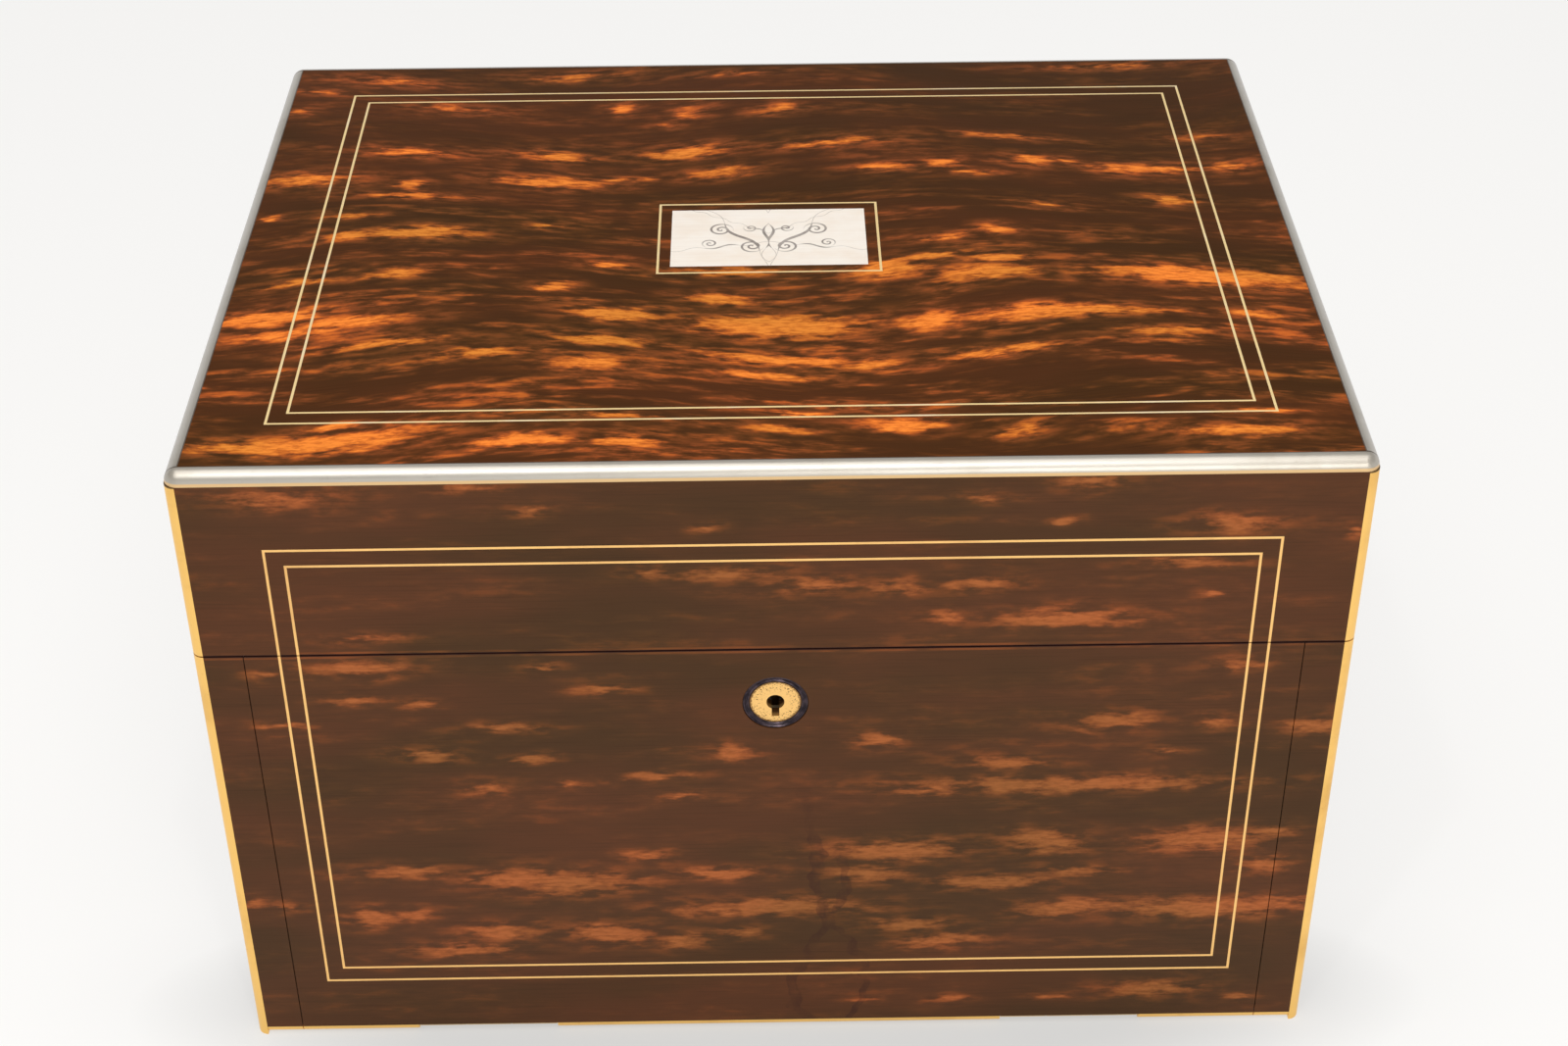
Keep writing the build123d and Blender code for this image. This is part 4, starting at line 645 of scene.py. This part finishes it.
def loose_boxes(name):
    """The middle and half size of each loose piece of a node, seen from above in millimetres."""
    piece = bpy.data.objects.new(name + "_pieces", nodes[name].data.copy())
    bpy.context.scene.collection.objects.link(piece)
    bpy.ops.object.select_all(action="DESELECT")
    piece.select_set(True)
    bpy.context.view_layer.objects.active = piece
    bpy.ops.object.mode_set(mode="EDIT")
    bpy.ops.mesh.select_all(action="SELECT")
    bpy.ops.mesh.remove_doubles(threshold=1e-6)
    bpy.ops.mesh.separate(type="LOOSE")
    bpy.ops.object.mode_set(mode="OBJECT")
    boxes = []
    for part in list(bpy.context.selected_objects):
        xs = [corner.co.x * 1000 for corner in part.data.vertices]
        ys = [corner.co.y * 1000 for corner in part.data.vertices]
        boxes.append(((min(xs) + max(xs)) / 2, (min(ys) + max(ys)) / 2, (max(xs) - min(xs)) / 2, (max(ys) - min(ys)) / 2))
        bpy.data.objects.remove(part)
    return boxes


cap_silver, place = new_finish("cap_silver")
silver_x, silver_y, silver_z = place.axes()
rim = None
for middle_x, middle_y, half_x, half_y in loose_boxes("jar_lids") + loose_boxes("bottle_caps"):
    across = half_x - (silver_x - middle_x).maths("ABSOLUTE")
    along = half_y - (silver_y - middle_y).maths("ABSOLUTE")
    rim = across.least(along) if rim is None else rim.most(across.least(along))
waves = (silver_x * (2 * pi / 5.2)).maths("SINE") * 0.55
turning = ((silver_y + waves) * (2 * pi / 1.25)).maths("SINE")
barleycorn = turning * (silver_x * (2 * pi / 1.25)).maths("SINE")
lines = rim.stripe(2.4, 0.28).most(rim.stripe(4.6, 0.22))
field = rim.rise(5.0, 5.3)
relief = (turning * 0.6 + barleycorn * 0.4) * field * 0.5 - lines
worn_silver = place.noise((12, 12, 12), 4.0, 0.6)
shade_silver = lines.most((relief * -1).rise(0.0, 0.5) * 0.5) + worn_silver.rise(0.5, 0.8) * 0.25
lay(cap_silver, Base_Color=shade_silver.pick((0.70, 0.67, 0.62), (0.28, 0.25, 0.21)), Metallic=1.0,
    Roughness=0.28 + worn_silver * 0.16, Normal=relief.bump(0.09))
dress(cap_silver, "bottle_caps", "jar_lids")

# ---------------------------------------------------------------- mirror
# A bevelled mirror drops out of the lid on two pivots. Its frame is covered with blue leather
# and tooled with a double gilt line, and a loop of silk ribbon at its front edge pulls it down.
def leather_finish(name, border_of):
    """Smooth blue leather with gilt lines where the border test of a place is 1."""
    material, place = new_finish(name)
    grain = place.noise((0.9, 0.9, 0.9), 3.0, 0.6)
    handled = place.noise((24, 24, 24), 3.0)
    hide = (handled.rise(0.3, 0.7) * 0.6 + grain * 0.4).pick((0.018, 0.014, 0.075), (0.050, 0.042, 0.160))
    gold = border_of(place) * grain.rise(0.2, 0.34)
    lay(material, Base_Color=gold.pick(hide, (0.85, 0.58, 0.22)), Metallic=gold,
        Roughness=0.45 + grain * 0.15 - gold * 0.15, Normal=(grain * 0.5 - gold).bump(0.06))
    return material


def rim_depth(place, middle, half):
    """How far in a place is from the rim of a rectangle that lies flat, in millimetres."""
    x, y, z = (place - (middle[0], middle[1], 0.0)).axes()
    return (half[0] - x.maths("ABSOLUTE")).least(half[1] - y.maths("ABSOLUTE")), x, y


frame_low, frame_high = [corner * 1000 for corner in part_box("mirror_frame")]
frame_middle = ((frame_low.x + frame_high.x) / 2, (frame_low.y + frame_high.y) / 2)
frame_half = ((frame_high.x - frame_low.x) / 2, (frame_high.y - frame_low.y) / 2)


def frame_tooling(place):
    depth, x, y = rim_depth(place, frame_middle, frame_half)
    beads = ((x + y) * (2 * pi / 3.2)).maths("SINE").rise(0.2, 0.7) * depth.stripe(6.0, 1.0)
    return depth.stripe(3.6, 0.35).most(depth.stripe(8.4, 0.35)).most(beads)


dress(leather_finish("tooled_leather", frame_tooling), "mirror_frame")
silvered, place = new_finish("silvered_glass")
foxing = place.noise((14, 14, 14), 4.0, 0.65)
lay(silvered, Base_Color=foxing.rise(0.66, 0.80).pick((0.90, 0.91, 0.90), (0.30, 0.27, 0.22)), Metallic=1.0,
    Roughness=0.02 + foxing.rise(0.62, 0.78) * 0.25)
dress(silvered, "mirror_glass")

# ---------------------------------------------------------------- linings
# The fall's inner face is lined with tooled leather, and the underside with dark paper-backed
# baize. The soft pieces of the frame are stood for by pieces with rounded edges of their own.
def soft_copy(node, width, segments=3):
    """The shape of a thin lining of the frame, with its hard edges rounded."""
    bpy.ops.object.select_all(action="DESELECT")
    piece = bpy.data.objects.new(node + "_cover", nodes[node].data.copy())
    bpy.context.scene.collection.objects.link(piece)
    piece.select_set(True)
    bpy.context.view_layer.objects.active = piece
    bpy.ops.object.mode_set(mode="EDIT")
    bpy.ops.mesh.select_all(action="SELECT")
    bpy.ops.mesh.remove_doubles(threshold=1e-6)
    bpy.ops.mesh.dissolve_limited(angle_limit=radians(1))
    bpy.ops.object.mode_set(mode="OBJECT")
    bpy.ops.object.modifier_add(type="BEVEL")
    piece.modifiers[-1].width = width / 1000
    piece.modifiers[-1].segments = segments
    bpy.ops.object.modifier_apply(modifier=piece.modifiers[-1].name)
    return piece


def plain_border(node):
    low, high = [corner * 1000 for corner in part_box(node)]
    middle = ((low.x + high.x) / 2, (low.z + high.z) / 2)
    half = ((high.x - low.x) / 2, (high.z - low.z) / 2)

    def tooling(place):
        x, y, z = place.axes()
        depth, u, v = rim_depth(place.joined(x, z, y), middle, half)
        beads = ((u + v) * (2 * pi / 3.6)).maths("SINE").rise(0.2, 0.7) * depth.stripe(5.0, 1.1)
        return depth.stripe(2.2, 0.35).most(depth.stripe(7.8, 0.35)).most(beads)
    return tooling


fall_cover = soft_copy("fall_inner_lining", 0.3)
settle(fall_cover, "fall_lining", leather_finish("fall_leather", plain_border("fall_inner_lining")), "fall_front")
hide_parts("fall_inner_lining")

baize, place = new_finish("dark_baize")
felt = place.noise((0.6, 0.6, 0.6), 3.0, 0.65)
rubbed_felt = place.noise((30, 30, 30), 3.0)
lay(baize, Base_Color=(felt * 0.6 + rubbed_felt * 0.4).pick((0.008, 0.008, 0.020), (0.050, 0.046, 0.080)),
    Roughness=0.95, Sheen_Weight=0.2, Normal=felt.bump(0.15))
underside = soft_copy("underside_lining", 0.3)
settle(underside, "underside_baize", baize, "carcase")
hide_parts("underside_lining")
# ---------------------------------------------------------------- wallet in the lid
# Against the inside of the lid, behind the mirror, is a leather wallet for letters: a back, a
# pocket open to the front and an envelope flap with a silver button. They are glued and stitched.
def panel(low, high, rounding, segments=3):
    """A thin panel between two corners in millimetres, with all its edges rounded."""
    middle = [(a + b) / 2000 for a, b in zip(low, high)]
    extent = [(b - a) / 1000 for a, b in zip(low, high)]
    piece = begin(bpy.ops.mesh.primitive_cube_add, size=1, location=middle, scale=extent)
    bpy.ops.object.transform_apply(location=True, rotation=True, scale=True)
    bpy.ops.object.modifier_add(type="BEVEL")
    piece.modifiers[-1].width = rounding / 1000
    piece.modifiers[-1].segments = segments
    bpy.ops.object.modifier_apply(modifier=piece.modifiers[-1].name)
    return piece


wallet_low, wallet_high = [corner * 1000 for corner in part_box("document_wallet")]
wallet_middle = ((wallet_low.x + wallet_high.x) / 2, (wallet_low.y + wallet_high.y) / 2)
wallet_half = ((wallet_high.x - wallet_low.x) / 2, (wallet_high.y - wallet_low.y) / 2)
pocket_margin, flap_reach = 9.0, 78.0


def wallet_tooling(place):
    depth, x, y = rim_depth(place, wallet_middle, wallet_half)
    beads = ((x - y) * (2 * pi / 4)).maths("SINE").rise(0.2, 0.7) * depth.stripe(14.5, 1.2)
    return depth.stripe(5.0, 0.4).most(depth.stripe(12.0, 0.35)).most(depth.stripe(17.0, 0.35)).most(beads)


wallet_leather = leather_finish("wallet_leather", wallet_tooling)
wallet_back = panel(wallet_low + type(wallet_low)((0, 0, 1.3)), wallet_high, 0.5)
settle(wallet_back, "wallet_back", wallet_leather, "lid")
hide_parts("document_wallet")
pocket = panel((wallet_low.x + pocket_margin, wallet_low.y + 4 * pocket_margin, wallet_low.z + 0.6),
               (wallet_high.x - pocket_margin, wallet_high.y - pocket_margin, wallet_high.z - 1.1), 0.3)
settle(pocket, "wallet_pocket", wallet_leather, "lid")
flap = panel((wallet_low.x + 2 * pocket_margin, wallet_low.y + 2 * pocket_margin, wallet_low.z),
             (wallet_high.x - 2 * pocket_margin, wallet_low.y + 2 * pocket_margin + flap_reach, wallet_high.z - 1.8), 0.3)
pick_faces(flap, lambda middle, normal: normal.y > 0.6)
bpy.ops.transform.resize(value=(0.35, 1, 1), center_override=(0, 0, 0))
settle(flap, "wallet_flap", wallet_leather, "lid")
button_place = (0.0, wallet_low.y + 2 * pocket_margin + flap_reach - 9, wallet_low.z + 0.1)
button = turned(button_place, [(3.4, 0.3), (3.4, 0.0), (3.0, -0.15), (1.2, -0.25), (0.05, -0.28)], corners=32)
settle(button, "wallet_button", cap_silver, "lid")

# ribbon tab: 12 mm ribbed silk, folded into a loop and glued behind the front edge of the mirror
ribbon_silk, place = new_finish("ribbon_silk")
rib_x, rib_y, rib_z = place.axes()
ribs = (rib_y * (2 * pi / 0.55)).maths("SINE")
edge_thread = rib_x.maths("ABSOLUTE").rise(5.2, 5.6)
lay(ribbon_silk, Base_Color=(ribs * 0.25 + 0.5 + edge_thread * 0.3).pick((0.03, 0.026, 0.13), (0.09, 0.08, 0.30)),
    Roughness=0.45, Sheen_Weight=0.3, Normal=ribs.bump(0.05))
tab_low, tab_high = [corner * 1000 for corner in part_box("mirror_ribbon_tab")]
tab_path = [(11.6, 0.66), (8.0, 0.60), (4.5, 0.55), (2.0, 0.30), (0.7, -0.35), (0.6, -1.1), (1.5, -1.75),
            (3.4, -1.8), (6.0, -1.2), (8.6, -0.35), (11.6, 0.25)]
tab_width = tab_high.x - tab_low.x
ribbon = begin(bpy.ops.mesh.primitive_plane_add, size=1)
bpy.ops.object.mode_set(mode="EDIT")
bpy.ops.mesh.select_mode(type="EDGE")
bpy.ops.mesh.select_all(action="SELECT")
bpy.ops.mesh.delete(type="ONLY_FACE")
bpy.ops.object.mode_set(mode="OBJECT")
for corner in ribbon.data.vertices:
    side = 1 if corner.co.x > 0 else -1
    corner.co = (side * tab_width / 2000, (tab_low.y + tab_path[0][0]) / 1000, (tab_low.z + tab_path[0][1]) / 1000)
bpy.ops.object.mode_set(mode="EDIT")
bpy.ops.mesh.select_all(action="SELECT")
bpy.ops.mesh.remove_doubles(threshold=1e-6)
for (last_y, last_z), (next_y, next_z) in zip(tab_path, tab_path[1:]):
    step = (0, (next_y - last_y) / 1000, (next_z - last_z) / 1000)
    bpy.ops.mesh.extrude_region_move(TRANSFORM_OT_translate={"value": step})
bpy.ops.object.mode_set(mode="OBJECT")
for kind in ("SUBSURF", "SOLIDIFY"):
    bpy.ops.object.modifier_add(type=kind)
ribbon.modifiers[0].levels = ribbon.modifiers[0].render_levels = 2
ribbon.modifiers[1].thickness = 0.00022
for modifier in [modifier.name for modifier in ribbon.modifiers]:
    bpy.ops.object.modifier_apply(modifier=modifier)
settle(ribbon, "ribbon_tab", ribbon_silk, "mirror")
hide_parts("mirror_ribbon_tab")
ribbon_run = sum(((ay - by) ** 2 + (az - bz) ** 2) ** 0.5 for (ay, az), (by, bz) in zip(tab_path, tab_path[1:]))
ribbon_run / 1000

# ---------------------------------------------------------------- screws
# Slotted brass screws with flat heads hold the hinges, plates and lock. Their heads lie in
# countersinks and are filed level with the metal.
head_height = 0.30


def slotted_head(radius):
    """One screw head with its slot, face up at the origin."""
    head = begin(bpy.ops.mesh.primitive_cylinder_add, vertices=28, radius=radius / 1000, depth=head_height / 1000)
    bpy.ops.object.mode_set(mode="EDIT")
    for side in (-1, 1):
        bpy.ops.mesh.select_all(action="SELECT")
        bpy.ops.mesh.bisect(plane_co=(side * radius / 7000, 0, 0), plane_no=(1, 0, 0))
    pick_faces(head, lambda middle, normal: normal.z > 0.9 and abs(middle.x) < radius / 8000)
    bpy.ops.mesh.extrude_region_move(TRANSFORM_OT_translate={"value": (0, 0, -0.2 / 1000)})
    bpy.ops.object.mode_set(mode="OBJECT")
    return head


def drive_screws(name, body, radius, places, turn):
    """A screw head at each place in millimetres, all turned to face one way."""
    first = slotted_head(radius)
    heads = []
    for index, place in enumerate(places):
        head = first.copy()
        head.data = first.data.copy()
        bpy.context.scene.collection.objects.link(head)
        head.rotation_mode = "XYZ"
        head.rotation_euler = turn
        head.data.transform(type(first.matrix_world).Rotation(radians(37 * index + 12), 4, "Z"))
        head.location = [length / 1000 for length in place]
        heads.append(head)
    bpy.data.objects.remove(first)
    bpy.ops.object.select_all(action="DESELECT")
    for head in heads:
        head.select_set(True)
    bpy.context.view_layer.objects.active = heads[0]
    bpy.ops.object.join()
    return settle(bpy.context.object, name, brass, body)


proud = 0.05 - head_height / 2
base_face, lid_face = 140.3, 140.7
face_up, face_down, face_back = (0, 0, 0), (pi, 0, 0), (-pi / 2, 0, 0)
hinge_xs = [side * 90 + shift for side in (-1, 1) for shift in (-18, 0, 18)]
stay_spots = [(side * 145.35, 86.6 + shift) for side in (-1, 1) for shift in (-9.5, 9.5)]
drive_screws("hinge_screws_base", "carcase", 1.7, [(x, 110.4, base_face + proud) for x in hinge_xs], face_up)
drive_screws("hinge_screws_lid", "lid", 1.7, [(x, 110.4, lid_face - proud) for x in hinge_xs], face_down)
drive_screws("stay_screws_base", "carcase", 1.3, [(x, y, base_face + proud) for x, y in stay_spots], face_up)
drive_screws("stay_screws_lid", "lid", 1.3, [(x, y, lid_face - proud) for x, y in stay_spots], face_down)
drive_screws("lock_screws_edge", "fall_front", 1.5, [(x, -111.5, base_face + proud) for x in (-27, 27)], face_up)
drive_screws("link_screws", "lid", 1.3, [(x, -111.5, lid_face - proud) for x in (-19.5, 19.5)], face_down)
cap_spots = [(x, -108.0 + proud, z) for x in (-20.5, 20.5) for z in (111.5, 132.0)]
drive_screws("lock_screws_cap", "fall_front", 1.3, cap_spots, face_back)
fall_xs = [side * 85 + shift for side in (-1, 1) for shift in (-13, 0, 13)]
drive_screws("fall_hinge_screws", "carcase", 1.5, [(x, -98.0, 0.6 - proud) for x in fall_xs], face_down)

# ---------------------------------------------------------------- drawer linings
# The floor of each drawer is covered with a velvet-faced card, cut a little small so that it drops in.
for name in ("lower_drawer", "upper_drawer"):
    low, high = [corner * 1000 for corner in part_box(name + "_box")]
    card = panel((low.x + 4.6, low.y + 0.6, low.z + 3.05), (high.x - 4.6, high.y - 4.6, low.z + 3.9), 0.35)
    settle(card, name + "_lining", velvet, name)

# ---------------------------------------------------------------- tool pad
# In the middle of the tray lies a firm velvet pad with a rolled edge. The toilet tools lie on it
# in shallow furrows, each held down by a leather loop.
pad_low, pad_high = [corner * 1000 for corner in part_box("tool_pad")]
pad_middle_y = (pad_low.y + pad_high.y) / 2
tool_xs = [-66, -44, -22, 0, 22, 44, 66]
pad = begin(bpy.ops.mesh.primitive_cube_add, size=1,
            location=[(a + b) / 2000 for a, b in zip(pad_low, pad_high)],
            scale=[(b - a) / 1000 for a, b in zip(pad_low, pad_high)])
bpy.ops.object.transform_apply(location=True, rotation=True, scale=True)
pick_faces(pad, lambda middle, normal: normal.z > 0.9)
bpy.ops.mesh.bevel(offset=0.005, segments=3, affect="EDGES")
pick_faces(pad, lambda middle, normal: normal.z > 0.9)
bpy.ops.mesh.inset(thickness=0.0025, depth=-0.0012)
bpy.ops.mesh.inset(thickness=0.0025, depth=0.0012)
pick_faces(pad, lambda middle, normal: normal.z > 0.99 and abs(middle.x) < 0.05 and abs(middle.y) < 0.05)
bpy.ops.mesh.subdivide(number_cuts=40)
bpy.ops.object.mode_set(mode="OBJECT")
for corner in pad.data.vertices:
    x, y, z = corner.co * 1000
    across = abs(x) / (pad_high.x - 7.5)
    down = abs(y - pad_middle_y) / (pad_high.y - pad_middle_y - 7.5)
    if z > pad_high.z - 0.4 and across < 1 and down < 1:
        furrow = sum(max(0.0, 1 - abs(x - middle) / 5) for middle in tool_xs) * max(0.0, 1 - down ** 6)
        swell = (1 - across ** 4) * (1 - down ** 4)
        corner.co.z += (1.1 * swell - 1.6 * furrow) / 1000
bpy.ops.object.modifier_add(type="SUBSURF")
pad.modifiers[-1].levels = pad.modifiers[-1].render_levels = 1
bpy.ops.object.modifier_apply(modifier=pad.modifiers[-1].name)
settle(pad, "velvet_pad", velvet, "carcase", angle=60)
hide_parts("tool_pad")

pearl, place = new_finish("mother_of_pearl")
waves = place.noise((5, 14, 5), 3.0, 0.55)
lustre = waves.node("ValToRGB", {"Fac": (waves * 3.0).maths("FRACT")}, stops=[
    (0.0, (0.72, 0.70, 0.64)), (0.3, (0.82, 0.72, 0.72)), (0.6, (0.66, 0.78, 0.74)), (1.0, (0.80, 0.78, 0.70))])
lay(pearl, Base_Color=lustre, Roughness=0.18, Specular_IOR_Level=0.7, Coat_Weight=0.4)
tool_steel = metal_finish("tool_steel", (0.62, 0.62, 0.62), (0.40, 0.38, 0.36), 0.24, (8, 1.2, 8))
tool_z = pad_high.z + 1.6
butt_y = pad_middle_y - 41
handle_profile = [(0.4, 0.0), (1.8, 0.3), (2.7, 1.6), (2.9, 3.2), (2.1, 6.0), (2.5, 9.0), (3.0, 18.0), (3.1, 27.0),
                  (2.5, 38.0), (2.0, 42.0), (2.0, 44.0)]
ferrule_profile = [(2.0, 43.5), (2.5, 43.8), (2.6, 44.8), (2.1, 45.3), (2.1, 48.0), (2.5, 48.5), (2.3, 49.4), (1.0, 50.2)]
along_tool = (-pi / 2, 0, 0)
blades = {
    "stiletto": [(0.9, 49.8), (1.1, 56.0), (0.9, 66.0), (0.08, 81.0)],
    "crochet_hook": [(0.9, 49.8), (0.9, 74.0), (0.55, 76.0), (0.8, 78.5), (0.3, 81.0)],
    "ear_spoon": [(0.7, 49.8), (0.6, 74.0), (0.5, 76.0), (1.3, 78.0), (1.5, 79.5), (0.6, 81.0)],
    "bodkin": [(1.0, 49.8), (1.3, 55.0), (1.0, 60.0), (0.7, 76.0), (0.4, 81.0)],
}
for x, (tool, blade) in zip((-66, -44, 44, 66), blades.items()):
    butt = (x, butt_y, tool_z)
    settle(turned(butt, handle_profile, along_tool, 32), tool + "_handle", pearl, "carcase", 60)
    settle(turned(butt, ferrule_profile, along_tool, 32), tool + "_ferrule", cap_silver, "carcase", 60)
    settle(turned(butt, blade, along_tool, 24), tool + "_blade", tool_steel, "carcase", 60)

# nail file and knife: a pearl handle with a flat blade, tapered to its tip
for x, tool in ((-22, "nail_file"), (22, "paper_knife")):
    butt = (x, butt_y, tool_z)
    settle(turned(butt, handle_profile, along_tool, 32), tool + "_handle", pearl, "carcase", 60)
    settle(turned(butt, ferrule_profile, along_tool, 32), tool + "_ferrule", cap_silver, "carcase", 60)
    blade = panel((x - 2.6, butt_y + 49.5, tool_z - 0.5), (x + 2.6, butt_y + 80, tool_z + 0.4), 0.35)
    pick_faces(blade, lambda middle, normal: normal.y > 0.6)
    bpy.ops.transform.resize(value=(0.3, 1, 1), center_override=(x / 1000, 0, 0))
    settle(blade, tool + "_blade", tool_steel, "carcase")

# scissors: two blades that cross at a screw, each with a round bow
for side in (-1, 1):
    bow = begin(bpy.ops.mesh.primitive_torus_add, major_radius=0.0052, minor_radius=0.0010, major_segments=40,
                minor_segments=12, location=(side * 0.0062, (butt_y + 6) / 1000, (tool_z - 0.6) / 1000))
    bow.scale = (0.9, 1.25, 1)
    settle(bow, "scissor_bow_" + ("left" if side < 0 else "right"), tool_steel, "carcase", 60)
    limb = panel((-1.5, butt_y + 11, tool_z - 0.9 + side * 0.45), (1.5, butt_y + 80, tool_z + side * 0.45), 0.3)
    pick_faces(limb, lambda middle, normal: normal.y > 0.6)
    bpy.ops.transform.resize(value=(0.2, 1, 1), center_override=(0, 0, 0))
    bpy.ops.object.mode_set(mode="OBJECT")
    limb.data.transform(type(limb.matrix_world).Translation((0, -(butt_y + 42) / 1000, 0)))
    limb.data.transform(type(limb.matrix_world).Rotation(radians(side * 9), 4, "Z"))
    limb.data.transform(type(limb.matrix_world).Translation((0, (butt_y + 42) / 1000, 0)))
    settle(limb, "scissor_limb_" + ("left" if side < 0 else "right"), tool_steel, "carcase")
drive_screws("scissor_screw", "carcase", 1.4, [(0, butt_y + 42, tool_z + 0.55)], face_up)

# leather loops: half rings let into the pad over each tool
loop_leather = leather_finish("loop_leather", lambda place: place.axes()[2].rise(400.0, 401.0))
for index, x in enumerate(tool_xs):
    ring_y = pad_middle_y + (14 if x == 0 else -14)
    loop = begin(bpy.ops.mesh.primitive_cylinder_add, vertices=40, radius=0.0042, depth=0.006, end_fill_type="NOTHING",
                 location=(x / 1000, ring_y / 1000, tool_z / 1000), rotation=(pi / 2, 0, 0))
    bpy.ops.object.transform_apply(location=True, rotation=True, scale=True)
    bpy.ops.object.mode_set(mode="EDIT")
    bpy.ops.mesh.select_all(action="SELECT")
    bpy.ops.mesh.bisect(plane_co=(0, 0, (pad_high.z - 1.2) / 1000), plane_no=(0, 0, 1), clear_inner=True)
    bpy.ops.object.mode_set(mode="OBJECT")
    bpy.ops.object.modifier_add(type="SOLIDIFY")
    loop.modifiers[-1].thickness = 0.0006
    bpy.ops.object.modifier_apply(modifier=loop.modifiers[-1].name)
    settle(loop, f"tool_loop_{index}", loop_leather, "carcase")
